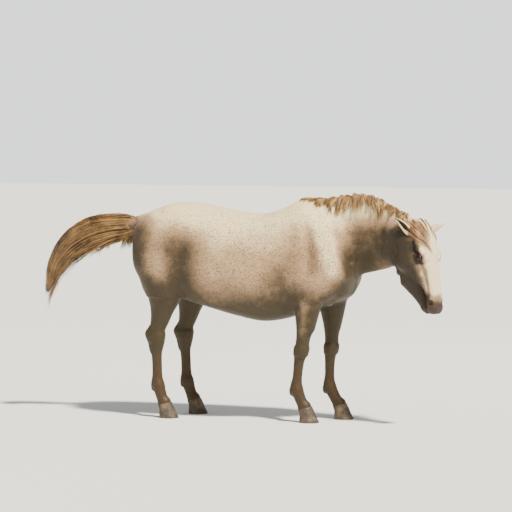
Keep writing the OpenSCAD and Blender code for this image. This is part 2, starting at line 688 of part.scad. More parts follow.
// Upper leg shell, with the disc that fills the arch in the trunk on the outer side
module upper_shell(table, len, side) {
    difference() {
        union() {
            limb_form(table);
            difference() {
                along_y(leg_arch_r - 14, side < 0 ? -74 : fork_w / 2 + 4, side < 0 ? -fork_w / 2 - 4 : 74);
                translate([-200, -200, -240]) cube([400, 400, 200]);
            }
            // Web between the disc and the limb
            intersection() {
                along_y(leg_arch_r - 14, side < 0 ? -74 : fork_w / 2 + 4, side < 0 ? -fork_w / 2 - 4 : 74);
                translate([-200, -200, -70]) cube([400, 400, 32]);
            }
        }
        translate([0, 0, -len]) cylinder(r = tube_r + tube_clear, h = len, $fn = 40);
        along_y(pin_head_r + 3, -fork_w / 2 - pin_head_t - 3, fork_w / 2 + pin_head_t + 3);
    }
}
module bone(len, top_bore, low_bore) {
    lug(top_bore);
    tube_between([0, 0, -bridge_gap], [0, 0, -len + fork_top - 1]);
    translate([0, 0, -len]) fork(low_bore);
}
module pastern(fetlock) {
    tilt = pastern_tilt(fetlock);
    color("tan") limb(fetlock, tilt) {
        lug(pin_r + pin_clear, neck = bridge_gap + 16);
        limb_form([[bone_gap, 0, 34, 31], [80, 0, 32, 30], [pastern_len - 48, 2, 40, 38], [pastern_len - 30, 2, 42, 40]]);
    }
}
module hoof(fetlock) {
    tilt = pastern_tilt(fetlock);
    centre = fetlock + lean(tilt, pastern_len);
    color("saddlebrown") difference() {
        skin([for (r = hoof_line) oval([centre.x + r[1], centre.y, r[0]], -YLEFT, [1, 0, 0], r[3], r[2], 28, 0.95)]);
        limb(fetlock, tilt) translate([-100, -100, -pastern_len + 30 - 0]) cube([200, 200, 200]);
    }
}
module forearm_shell(side) {
    color("wheat") limb(elbow(side), pick(fore_swing, side)) upper_shell(forearm_line, forearm_len, side);
}
module forearm_bone(side) {
    color("dimgray") limb(elbow(side), pick(fore_swing, side)) bone(forearm_len, pin_r + pin_clear, pin_r + pin_clear);
}
module fore_cannon_shell(side) {
    color("tan") limb(knee(side), pick(fore_cannon_tilt, side)) limb_shell(fore_cannon_line, 0, fore_cannon_len);
}
module fore_cannon_bone(side) {
    color("dimgray") limb(knee(side), pick(fore_cannon_tilt, side))
        bone(fore_cannon_len, pin_r + pin_tight, pin_r + pin_tight);
}
module fore_pins(side) {
    color("silver") for (hinge = [knee(side), fore_fetlock(side)]) translate(hinge) clevis_pin();
}
module gaskin_shell(side) {
    color("wheat") limb(stifle(side), pick(hind_swing, side)) upper_shell(gaskin_line, gaskin_len, side);
}
module gaskin_bone(side) {
    color("dimgray") limb(stifle(side), pick(hind_swing, side)) bone(gaskin_len, pin_r + pin_clear, pin_r + pin_clear);
}
module hind_cannon_shell(side) {
    color("tan") limb(hock(side), pick(hind_cannon_tilt, side)) limb_shell(hind_cannon_line, 0, hind_cannon_len);
}
module hind_cannon_bone(side) {
    color("dimgray") limb(hock(side), pick(hind_cannon_tilt, side))
        bone(hind_cannon_len, pin_r + pin_tight, pin_r + pin_tight);
}
module hind_pins(side) {
    color("silver") for (hinge = [hock(side), hind_fetlock(side)]) translate(hinge) clevis_pin();
}

// Puts the middle of the figure's box over the origin
module placed() {
    translate(figure_shift) children();
}
placed() trunk_shell(-1);  // trunk_shell_right
placed() trunk_shell(1);  // trunk_shell_left
placed() spine_beam();
placed() fore_frame();
placed() hind_frame();
placed() frame_pins();
placed() machine_tray();
placed() battery();
placed() control_box();
placed() belly_hatch();
placed() hatch_screws();
placed() leg_actuators();
placed() neck_lower_shell();
placed() neck_lower_bone();
placed() neck_upper_shell();
placed() neck_upper_bone();
placed() neck_turn_pin();
placed() mane();
placed() head_shell();
placed() head_bone();
placed() head_pins();
placed() eye(-1);  // eye_right
placed() eye(1);  // eye_left
placed() forelock();
placed() lower_jaw();
placed() ear(-1);  // ear_right
placed() ear(1);  // ear_left
placed() eyelid(-1);  // eyelid_right
placed() eyelid(1);  // eyelid_left
placed() tail_yoke();
placed() tail_dock();
placed() tail_hair();
placed() forearm_shell(-1);  // forearm_shell_right
placed() forearm_bone(-1);  // forearm_bone_right
placed() fore_cannon_shell(-1);  // fore_cannon_shell_right
placed() fore_cannon_bone(-1);  // fore_cannon_bone_right
placed() fore_pins(-1);  // fore_pins_right
placed() pastern(fore_fetlock(-1));  // fore_pastern_right
placed() hoof(fore_fetlock(-1));  // fore_hoof_right
placed() forearm_shell(1);  // forearm_shell_left
placed() forearm_bone(1);  // forearm_bone_left
placed() fore_cannon_shell(1);  // fore_cannon_shell_left
placed() fore_cannon_bone(1);  // fore_cannon_bone_left
placed() fore_pins(1);  // fore_pins_left
placed() pastern(fore_fetlock(1));  // fore_pastern_left
placed() hoof(fore_fetlock(1));  // fore_hoof_left
placed() gaskin_shell(-1);  // gaskin_shell_right
placed() gaskin_bone(-1);  // gaskin_bone_right
placed() hind_cannon_shell(-1);  // hind_cannon_shell_right
placed() hind_cannon_bone(-1);  // hind_cannon_bone_right
placed() hind_pins(-1);  // hind_pins_right
placed() pastern(hind_fetlock(-1));  // hind_pastern_right
placed() hoof(hind_fetlock(-1));  // hind_hoof_right
placed() gaskin_shell(1);  // gaskin_shell_left
placed() gaskin_bone(1);  // gaskin_bone_left
placed() hind_cannon_shell(1);  // hind_cannon_shell_left
placed() hind_cannon_bone(1);  // hind_cannon_bone_left
placed() hind_pins(1);  // hind_pins_left
placed() pastern(hind_fetlock(1));  // hind_pastern_left
placed() hoof(hind_fetlock(1));  // hind_hoof_left
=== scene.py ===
import math
import bpy
import bmesh
import numpy as np
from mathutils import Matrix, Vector


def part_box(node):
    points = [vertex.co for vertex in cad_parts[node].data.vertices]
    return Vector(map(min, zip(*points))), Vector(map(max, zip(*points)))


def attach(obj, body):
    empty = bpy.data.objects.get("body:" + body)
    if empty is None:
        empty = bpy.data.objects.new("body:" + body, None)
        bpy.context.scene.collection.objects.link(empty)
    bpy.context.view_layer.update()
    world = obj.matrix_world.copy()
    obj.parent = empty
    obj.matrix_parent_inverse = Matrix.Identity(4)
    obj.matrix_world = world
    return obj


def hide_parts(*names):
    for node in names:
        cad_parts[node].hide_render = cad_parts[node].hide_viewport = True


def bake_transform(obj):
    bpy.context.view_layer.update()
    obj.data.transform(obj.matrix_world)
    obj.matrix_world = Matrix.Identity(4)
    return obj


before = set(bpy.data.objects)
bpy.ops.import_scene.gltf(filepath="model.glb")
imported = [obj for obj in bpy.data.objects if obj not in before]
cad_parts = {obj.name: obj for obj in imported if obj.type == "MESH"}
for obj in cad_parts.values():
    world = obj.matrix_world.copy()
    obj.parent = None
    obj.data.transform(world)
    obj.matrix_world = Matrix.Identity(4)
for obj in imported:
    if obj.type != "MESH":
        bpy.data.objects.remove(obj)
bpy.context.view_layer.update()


# ---------------------------------------------------------------------------
# The stand the horse is looked at on: a pale floor, one warm high lamp at the
# front right, a soft fill, and a camera at chest height well off to the side.
# ---------------------------------------------------------------------------
def linear(red, green, blue):
    """A paint-chart colour, 0 to 255, as the shader's own linear colour."""
    made = []
    for part in (red, green, blue):
        part = part / 255
        made.append(part / 12.92 if part <= 0.04045 else ((part + 0.055) / 1.055) ** 2.4)
    return (*made, 1.0)


def new_object(name, data):
    """An object with the given data, put into the scene."""
    made = bpy.data.objects.new(name, data)
    bpy.context.scene.collection.objects.link(made)
    return made


def facing(thing, target):
    """Turns a lamp or camera towards a point."""
    thing.rotation_euler = (Vector(target) - thing.location).to_track_quat("-Z", "Y").to_euler()


VIEW_AZIMUTH = math.radians(18)
VIEW_ELEVATION = math.radians(3.5)
VIEW_DISTANCE = 20.0
VIEW_WIDTH = 3.459
SENSOR_WIDTH = 36.0
look_at = Vector((0.089, 0.0, 1.101))

camera_data = bpy.data.cameras.new("camera")
camera = new_object("camera", camera_data)
camera_data.sensor_width = SENSOR_WIDTH
camera_data.lens = SENSOR_WIDTH * VIEW_DISTANCE / VIEW_WIDTH
camera_data.clip_end = 200
camera.location = look_at + VIEW_DISTANCE * Vector((
    math.sin(VIEW_AZIMUTH) * math.cos(VIEW_ELEVATION),
    -math.cos(VIEW_AZIMUTH) * math.cos(VIEW_ELEVATION),
    math.sin(VIEW_ELEVATION),
))
facing(camera, look_at)
bpy.context.scene.camera = camera

for lamp_name, kind, place, energy, tint, spread in (
    ("key_lamp", "SUN", (4.2, -2.8, 9.0), 8.2, (1.0, 0.94, 0.80), 0.10),
    ("fill_lamp", "AREA", (-3.5, -6.0, 3.0), 60, (0.93, 0.96, 1.0), 4.0),
    ("rim_lamp", "AREA", (1.0, 5.0, 4.5), 60, (1.0, 0.98, 0.94), 3.0),
):
    lamp_data = bpy.data.lights.new(lamp_name, kind)
    lamp_data.energy = energy
    lamp_data.color = tint
    if kind == "SUN":
        lamp_data.angle = spread
    else:
        lamp_data.size = spread
    lamp = new_object(lamp_name, lamp_data)
    lamp.location = place
    facing(lamp, (0.1, 0, 0.9))

world = bpy.data.worlds.new("room")
world.use_nodes = True
ROOM_LIGHT, ROOM_SEEN = 0.36, 1.66
backdrop = world.node_tree.nodes["Background"]
backdrop.inputs[0].default_value = (0.97, 0.985, 1.0, 1)
seen = world.node_tree.nodes.new("ShaderNodeLightPath").outputs["Is Camera Ray"]
strength = world.node_tree.nodes.new("ShaderNodeMath")
strength.operation = "MULTIPLY_ADD"
world.node_tree.links.new(seen, strength.inputs[0])
strength.inputs[1].default_value = ROOM_SEEN - ROOM_LIGHT
strength.inputs[2].default_value = ROOM_LIGHT
world.node_tree.links.new(strength.outputs[0], backdrop.inputs[1])
bpy.context.scene.world = world

FLOOR_REACH = 40
floor_mesh = bpy.data.meshes.new("floor")
floor_corners = [(x * FLOOR_REACH, y * FLOOR_REACH, 0) for x, y in ((-1, -1), (1, -1), (1, 1), (-1, 1))]
floor_mesh.from_pydata(floor_corners, [], [(0, 1, 2, 3)])
floor = new_object("floor", floor_mesh)
floor_paint = bpy.data.materials.new("floor_paint")
floor_paint.use_nodes = True
floor_paint.node_tree.nodes["Principled BSDF"].inputs["Base Color"].default_value = (0.86, 0.86, 0.85, 1)
floor_paint.node_tree.nodes["Principled BSDF"].inputs["Roughness"].default_value = 0.9
floor_mesh.materials.append(floor_paint)


# ---------------------------------------------------------------------------
# The coat: short hair of a flea-bitten grey over pinkish skin. It is cream along the back, partly its own pale
# hair and partly painted light, and brown where shade is painted, freckled all over with small dark tufts. The
# hide pieces share it, and each point of the hide carries its own zone values, whose red sets the painted
# shade.
# ---------------------------------------------------------------------------
class Wiring:
    """Adds nodes to a tree in a few words: a node's kind, its settings, and what feeds its sockets."""

    def __init__(self, tree):
        self.tree = tree

    def node(self, kind, feeds=(), **settings):
        made = self.tree.nodes.new(kind)
        for setting, value in settings.items():
            setattr(made, setting, value)
        for socket, value in dict(feeds).items():
            if isinstance(value, bpy.types.NodeSocket):
                self.tree.links.new(value, made.inputs[socket])
            else:
                made.inputs[socket].default_value = value
        return made

    def join(self, source, socket):
        self.tree.links.new(source, socket)

    def relief(self, shader, height, strength, distance):
        """Raises a fine relief on a shader's surface."""
        bump = self.node("ShaderNodeBump", {"Height": height, "Strength": strength, "Distance": distance})
        self.join(bump.outputs[0], shader.inputs["Normal"])

    def math(self, operation, *values, clamp=False):
        return self.node("ShaderNodeMath", enumerate(values), operation=operation, use_clamp=clamp).outputs[0]

    def mix(self, amount, first, second, blend="MIX"):
        mixed = self.node("ShaderNodeMix", {0: amount, 6: first, 7: second}, data_type="RGBA", blend_type=blend)
        return mixed.outputs[2]

    def ramp(self, value, low, high):
        return self.node(
            "ShaderNodeMapRange", {0: value, 1: low, 2: high}, interpolation_type="SMOOTHSTEP"
        ).outputs[0]

    def noise(self, where, scale, detail=4, roughness=0.55):
        return self.node(
            "ShaderNodeTexNoise", {"Vector": where, "Scale": scale, "Detail": detail, "Roughness": roughness}
        ).outputs["Fac"]

    def stretched(self, where, scale):
        return self.node("ShaderNodeMapping", {"Vector": where, "Scale": scale}).outputs[0]


def new_group(name, takes, gives):
    group = bpy.data.node_groups.new(name, "ShaderNodeTree")
    for socket, kind, value in takes:
        made = group.interface.new_socket(name=socket, in_out="INPUT", socket_type=kind)
        if value is not None:
            made.default_value = value
    for socket, kind in gives:
        group.interface.new_socket(name=socket, in_out="OUTPUT", socket_type=kind)
    wires = Wiring(group)
    return group, wires, wires.node("NodeGroupInput").outputs, wires.node("NodeGroupOutput").inputs


# Short hair: fine strokes lying along the body, and tufts that break the light
hair_group, wire, given, result = new_group(
    "short_hair",
    [("Vector", "NodeSocketVector", None), ("Fineness", "NodeSocketFloat", 1.0)],
    [("Stroke", "NodeSocketFloat"), ("Tuft", "NodeSocketFloat")],
)
lying = wire.stretched(given["Vector"], (55, 210, 130))
stroke = wire.noise(lying, given["Fineness"], 3, 0.7)
tuft = wire.noise(wire.stretched(given["Vector"], (16, 30, 22)), given["Fineness"], 5, 0.62)
wire.join(stroke, result["Stroke"])
wire.join(tuft, result["Tuft"])

# Freckles: small dark tufts of two sizes, thrown over the coat where the zone asks for them
freckle_group, wire, given, result = new_group(
    "freckles",
    [("Vector", "NodeSocketVector", None), ("Amount", "NodeSocketFloat", 1.0)],
    [("Mask", "NodeSocketFloat")],
)
masks = []
for freckle_scale, share, size in ((132, 0.62, 0.48), (70, 0.34, 0.42)):
    cells = wire.node(
        "ShaderNodeTexVoronoi", {"Vector": given["Vector"], "Scale": freckle_scale, "Randomness": 1.0}
    )
    chance = wire.node("ShaderNodeSeparateColor", {0: cells.outputs["Color"]}).outputs[0]
    wanted = wire.math("LESS_THAN", chance, wire.math("MULTIPLY", given["Amount"], share))
    spot = wire.ramp(cells.outputs["Distance"], size, size * 0.45)
    masks.append(wire.math("MULTIPLY", wanted, spot))
wire.join(wire.math("MAXIMUM", *masks), result["Mask"])


def new_material(name):
    """A material, its wiring, its shader, and the object's own coordinates to draw on."""
    made = bpy.data.materials.new(name)
    made.use_nodes = True
    wires = Wiring(made.node_tree)
    where = wires.node("ShaderNodeTexCoord").outputs["Object"]
    return made, wires, made.node_tree.nodes["Principled BSDF"], where


def coat_material(name, cream, mid, shade, freckle, skin, russet, bump=0.35):
    """Hide with its hair: zone red paints shade, and painted light where it runs low, green freckles, blue
    bares the skin and alpha turns it russet.
    """
    made, wires, shader, where = new_material(name)
    zones_here = wires.node("ShaderNodeAttribute", attribute_name="zone")
    zone = wires.node("ShaderNodeSeparateColor", {0: zones_here.outputs["Color"]})
    hair = wires.node("ShaderNodeGroup", {}, node_tree=hair_group)
    wires.join(where, hair.inputs["Vector"])
    cloud = wires.noise(where, 4.2, 6, 0.62)
    mottle = wires.noise(where, 23.0, 5, 0.7)
    # Painted light and painted shade: the zone's red, with a little cloud, steps the coat from cream through
    # mid to the shade colour
    drift = wires.math("MULTIPLY_ADD", wires.math("SUBTRACT", cloud, 0.5), 0.55, zone.outputs[0])
    drift = wires.math("MULTIPLY_ADD", wires.math("SUBTRACT", mottle, 0.5), 0.34, drift)
    tone = wires.mix(wires.ramp(drift, 0.02, 0.5), cream, mid)
    tone = wires.mix(wires.ramp(drift, 0.44, 1.12), tone, shade)
    freckles = wires.node("ShaderNodeGroup", {}, node_tree=freckle_group)
    wires.join(where, freckles.inputs["Vector"])
    wires.join(zone.outputs[1], freckles.inputs["Amount"])
    tone = wires.mix(wires.math("MULTIPLY", freckles.outputs["Mask"], 0.78), tone, freckle)
    bare = wires.math("MULTIPLY_ADD", wires.math("SUBTRACT", mottle, 0.5), 0.5, zone.outputs[2])
    tone = wires.mix(wires.ramp(bare, 0.2, 0.9), tone, skin)
    rust = wires.math("MULTIPLY_ADD", wires.math("SUBTRACT", mottle, 0.5), 1.2, zones_here.outputs["Alpha"])
    tone = wires.mix(wires.ramp(rust, 0.15, 0.95), tone, russet)
    streak = wires.ramp(hair.outputs["Stroke"], 0.25, 0.8)
    tone = wires.mix(wires.math("MULTIPLY", wires.math("SUBTRACT", 1.0, streak), 0.34), tone, shade, "MULTIPLY")
    wires.join(tone, shader.inputs["Base Color"])
    wires.join(
        wires.math("MULTIPLY_ADD", hair.outputs["Tuft"], 0.25, 0.46), shader.inputs["Roughness"]
    )
    height = wires.math(
        "MULTIPLY_ADD", hair.outputs["Tuft"], 0.6, wires.math("MULTIPLY", hair.outputs["Stroke"], 0.4)
    )
    wires.relief(shader, height, bump, 0.004)
    shader.inputs["Sheen Weight"].default_value = 0.07
    shader.inputs["Sheen Roughness"].default_value = 0.45
    shader.inputs["Specular IOR Level"].default_value = 0.32
    return made


# Colours are cream, mid, shade, freckle, skin and russet; the shade colour is painted shade, and the cream is
# partly painted light on the back
body_coat = coat_material(
    "body_coat", linear(255, 234, 184), linear(196, 160, 122), linear(62, 51, 29),
    linear(74, 50, 36), linear(110, 78, 64), linear(80, 50, 32),
)
face_coat = coat_material(
    "face_coat", linear(255, 238, 194), linear(186, 150, 118), linear(52, 42, 27),
    linear(78, 56, 44), linear(70, 53, 45), linear(40, 25, 19), bump=0.25,
)


# ---------------------------------------------------------------------------
# The hide: one soft cover over the whole figure, drawn over the muscles as a single skin and then parted at the
# joints.
# Sizes are in metres; forward is +x, up is +z, and the horse's right is -y.
# ---------------------------------------------------------------------------
SHIFT = 0.089
WITHERS = 1.490
HALF_GIRTH = 0.325


def eased(rows, steps=10):
    """Rows of a profile with smooth rows between them; a row begins with its place along the part."""
    rows = np.array(rows, float)
    place = rows[:, 0]
    slope = np.gradient(rows, place, axis=0)
    made = []
    for i in range(len(rows) - 1):
        gap = place[i + 1] - place[i]
        for t in np.linspace(0, 1, steps, endpoint=False):
            made.append(
                (2 * t ** 3 - 3 * t ** 2 + 1) * rows[i] + (t ** 3 - 2 * t ** 2 + t) * gap * slope[i]
                + (3 * t ** 2 - 2 * t ** 3) * rows[i + 1] + (t ** 3 - t ** 2) * gap * slope[i + 1]
            )
    return np.array(made + [rows[-1]])


class Clay:
    """A block of space that shapes are pressed into; its skin is drawn where the shapes end."""

    def __init__(self, xs, ys, zs):
        self.axes = [np.asarray(a, np.float32) for a in (xs, ys, zs)]
        self.depth = np.full([len(a) for a in self.axes], 0.2, np.float32)

    def window(self, low, high):
        cut = []
        for axis, a, b in zip(self.axes, low, high):
            cut.append(slice(max(0, np.searchsorted(axis, a) - 1), np.searchsorted(axis, b) + 1))
        x, y, z = (axis[c] for axis, c in zip(self.axes, cut))
        return tuple(cut), x[:, None, None], y[None, :, None], z[None, None, :]

    def press(self, low, high, shape, soft, remove=False):
        reach = 0.06 + soft
        cut, x, y, z = self.window([v - reach for v in low], [v + reach for v in high])
        if 0 in self.depth[cut].shape:
            return
        d = shape(x, y, z)
        old = self.depth[cut]
        if remove:
            blend = np.clip(0.5 - 0.5 * (old + d) / soft, 0, 1)
            self.depth[cut] = old * (1 - blend) - d * blend + soft * blend * (1 - blend)
        else:
            blend = np.clip(0.5 + 0.5 * (d - old) / soft, 0, 1)
            self.depth[cut] = d * (1 - blend) + old * blend - soft * blend * (1 - blend)

    def loft(self, origin, along, side_a, side_b, rows, power, soft, remove=False, box=None):
        """Rows are [place, centre a, centre b, half a, half b] in metres."""
        rows = eased(rows)
        o, w, a, b = (np.array(v, float) for v in (origin, along, side_a, side_b))
        corners = []
        for r in (rows[0], rows[len(rows) // 4], rows[len(rows) // 2], rows[3 * len(rows) // 4], rows[-1]):
            for i in (-1, 1):
                for j in (-1, 1):
                    corners.append(o + r[0] * w + (r[1] + i * r[3]) * a + (r[2] + j * r[4]) * b)
        low, high = (np.min(corners, 0) - 0.04, np.max(corners, 0) + 0.04) if box is None else box

        def shape(x, y, z):
            dx, dy, dz = x - o[0], y - o[1], z - o[2]
            t = dx * w[0] + dy * w[1] + dz * w[2]
            u = dx * a[0] + dy * a[1] + dz * a[2]
            v = dx * b[0] + dy * b[1] + dz * b[2]
            size = t.shape
            flat = np.clip(t, rows[0, 0], rows[-1, 0]).ravel()
            ca, cb, ha, hb = (np.interp(flat, rows[:, 0], rows[:, i]).reshape(size) for i in (1, 2, 3, 4))
            u = np.abs(u - ca) / ha + 1e-6
            v = np.abs(v - cb) / hb + 1e-6
            f = (u ** power + v ** power) ** (1 / power)
            steep = f ** (1 - power) * np.sqrt((u ** (power - 1) / ha) ** 2 + (v ** (power - 1) / hb) ** 2)
            side = (f - 1) / np.maximum(steep, 1e-3)
            end = np.maximum(t - rows[-1, 0], rows[0, 0] - t)
            return np.maximum(side, end).astype(np.float32)

        self.press(low, high, shape, soft, remove)

    def muscle(self, start, end, r1, r2, soft=0.03, flat=1.0, remove=False):
        """A round cone between two points, squeezed sideways to flat times its width."""
        p, q = np.array(start, float), np.array(end, float)
        way = q - p
        way[1] /= flat
        span = float(way @ way) + 1e-12
        top = max(r1, r2)

        def shape(x, y, z):
            dx, dy, dz = x - p[0], (y - p[1]) / flat, z - p[2]
            t = np.clip((dx * way[0] + dy * way[1] + dz * way[2]) / span, 0, 1)
            far = np.sqrt((dx - t * way[0]) ** 2 + (dy - t * way[1]) ** 2 + (dz - t * way[2]) ** 2)
            return ((far - (r1 + (r2 - r1) * t)) * min(1.0, 0.5 + 0.5 * flat)).astype(np.float32)

        self.press(np.minimum(p, q) - top, np.maximum(p, q) + top, shape, soft, remove)

    def skin(self):
        """Corner points and four-sided faces of the surface where the depth changes sign."""
        depth = self.depth
        inside = depth < 0
        n = [s - 1 for s in depth.shape]
        filled = np.zeros(n, np.uint8)
        for i in (0, 1):
            for j in (0, 1):
                for k in (0, 1):
                    filled += inside[i:n[0] + i, j:n[1] + j, k:n[2] + k]
        crossed = (filled > 0) & (filled < 8)
        cells = np.argwhere(crossed)
        number = np.full(n, -1, np.int64)
        number[crossed] = np.arange(len(cells))
        total = np.zeros((len(cells), 3))
        count = np.zeros(len(cells))
        corners = [(i, j, k) for i in (0, 1) for j in (0, 1) for k in (0, 1)]
        for one in corners:
            for other in corners:
                if sum(abs(s - t) for s, t in zip(one, other)) != 1 or one > other:
                    continue
                here, there = cells + one, cells + other
                f1, f2 = depth[tuple(here.T)], depth[tuple(there.T)]
                cross = (f1 < 0) != (f2 < 0)
                t = np.where(cross, f1 / np.where(cross, f1 - f2, 1), 0)[:, None]
                p1 = np.stack([self.axes[c][here[:, c]] for c in range(3)], 1)
                p2 = np.stack([self.axes[c][there[:, c]] for c in range(3)], 1)
                total += (p1 + (p2 - p1) * t) * cross[:, None]
                count += cross
        points = total / count[:, None]
        faces = []
        for axis in range(3):
            b, c = (axis + 1) % 3, (axis + 2) % 3
            low = [slice(1, -1)] * 3
            high = [slice(1, -1)] * 3
            low[axis], high[axis] = slice(0, -1), slice(1, None)
            changed = np.argwhere(inside[tuple(low)] != inside[tuple(high)])
            at = changed + [0 if i == axis else 1 for i in range(3)]
            ring = []
            for db, dc in ((-1, -1), (0, -1), (0, 0), (-1, 0)):
                cell = at.copy()
                cell[:, b] += db
                cell[:, c] += dc
                ring.append(number[tuple(cell.T)])
            ring = np.stack(ring, 1)
            outward = inside[tuple(at.T)]
            faces.append(np.where(outward[:, None], ring, ring[:, ::-1]))
        return points, np.concatenate(faces)


def smoothed(points, faces, rounds):
    """Takes the steps out of a skin: each round moves in by a half and back out by a little more."""
    edges = np.unique(np.sort(np.concatenate([faces[:, [i, (i + 1) % 4]] for i in range(4)]), 1), axis=0)
    near = np.bincount(edges.ravel(), minlength=len(points))[:, None]
    for amount in (0.5, -0.52) * rounds:
        total = np.zeros_like(points)
        for c in range(3):
            total[:, c] = (np.bincount(edges[:, 0], points[edges[:, 1], c], len(points))
                           + np.bincount(edges[:, 1], points[edges[:, 0], c], len(points)))
        points = points + amount * (total / near - points)
    return points


# Head directions: across to its left, out of the forehead, and down to the muzzle
head_l = np.array([0.5, 0.866, 0.0])
head_n = np.array([0.850, -0.491, 0.191])
head_d = np.array([0.165, -0.0954, -0.9816])
head_pivot = np.array([1.229, -0.160, 1.250])
poll = head_pivot + 0.165 * head_n - 0.070 * head_d


def on_head(down, out, left):
    return poll + down * head_d + out * head_n + left * head_l


SMOOTHING_ROUNDS = 3
coarse, fine = 0.0085, 0.0048
clay = Clay(
    np.concatenate([np.arange(-0.86, 1.06, coarse), np.arange(1.06, 1.47, fine)]),
    np.arange(-0.372, 0.345, 0.0058),
    np.concatenate([np.arange(0.055, 0.74, 0.0075), np.arange(0.74, 1.56, 0.0058)]),
)

ORIGIN, FORWARD, LEFTWARD, UPWARD = (0, 0, 0), (1, 0, 0), (0, 1, 0), (0, 0, 1)

# Trunk: place, drop below the withers, underline, share of the half girth
trunk_rows = []
for x, drop, low, share in (
    (-862, 236, 1090, .18), (-835, 176, 992, .46), (-760, 108, 915, .69), (-640, 54, 852, .83),
    (-490, 28, 797, .90), (-300, 50, 742, .96), (-100, 90, 692, 1), (80, 98, 664, .99),
    (220, 54, 684, .93), (340, 0, 722, .82), (480, 22, 770, .75), (600, 105, 815, .66),
    (690, 276, 880, .50), (722, 368, 962, .26),
):
    top, low = WITHERS - drop / 1000, low / 1000
    trunk_rows.append([x / 1000 + SHIFT, (top + low) / 2, 0, (top - low) / 2, share * HALF_GIRTH])
clay.loft(ORIGIN, FORWARD, UPWARD, LEFTWARD, trunk_rows, 2.2, 0.02)

# Neck: place, sideways shift, crest, underline, half width
neck_rows = []
for x, y, top, low, wide in (
    (470, 0, 1462, 966, 112), (600, 0, 1500, 972, 112), (700, -8, 1514, 985, 100),
    (780, -24, 1512, 1002, 92), (860, -46, 1496, 1020, 90), (960, -84, 1456, 1046, 88),
    (1044, -121, 1412, 1084, 88), (1090, -142, 1388, 1110, 86),
):
    neck_rows.append([x / 1000 + SHIFT, (top + low) / 2000, y / 1000, (top - low) / 2000, wide / 1000])
clay.loft(ORIGIN, FORWARD, UPWARD, LEFTWARD, neck_rows, 2.0, 0.06)

ELBOW = {-1: (0.499, 0.800), 1: (0.589, 0.800)}
STIFLE = {-1: (-0.511, 0.842), 1: (-0.421, 0.842)}
KNEE = {-1: (0.4489, 0.4839), 1: (0.5778, 0.4802)}
HOCK = {-1: (-0.5634, 0.5446), 1: (-0.4682, 0.5437)}
FORE_FETLOCK = {-1: (0.4207, 0.2154), 1: (0.5731, 0.2102)}
HIND_FETLOCK = {-1: (-0.5578, 0.2196), 1: (-0.4569, 0.2189)}
FORE_HOOF = {-1: 0.4885, 1: 0.6514}
HIND_HOOF = {-1: -0.5002, 1: -0.3974}
FORE_Y, HIND_Y = 0.135, 0.155


def column(side_y, top, bottom, rows, soft, power=2.0, reach=0.0):
    """A leg part between two joints: rows of depth, shift forward, half length and half width, in mm."""
    o = np.array([top[0], side_y, top[1]])
    way = np.array([bottom[0] - top[0], 0, bottom[1] - top[1]])
    way /= np.linalg.norm(way)
    front = np.array([-way[2], 0, way[0]])
    clay.loft(
        o, way, front, LEFTWARD, [[d / 1000, f / 1000, 0, h / 1000, w / 1000] for d, f, h, w in rows], power,
        soft
    )


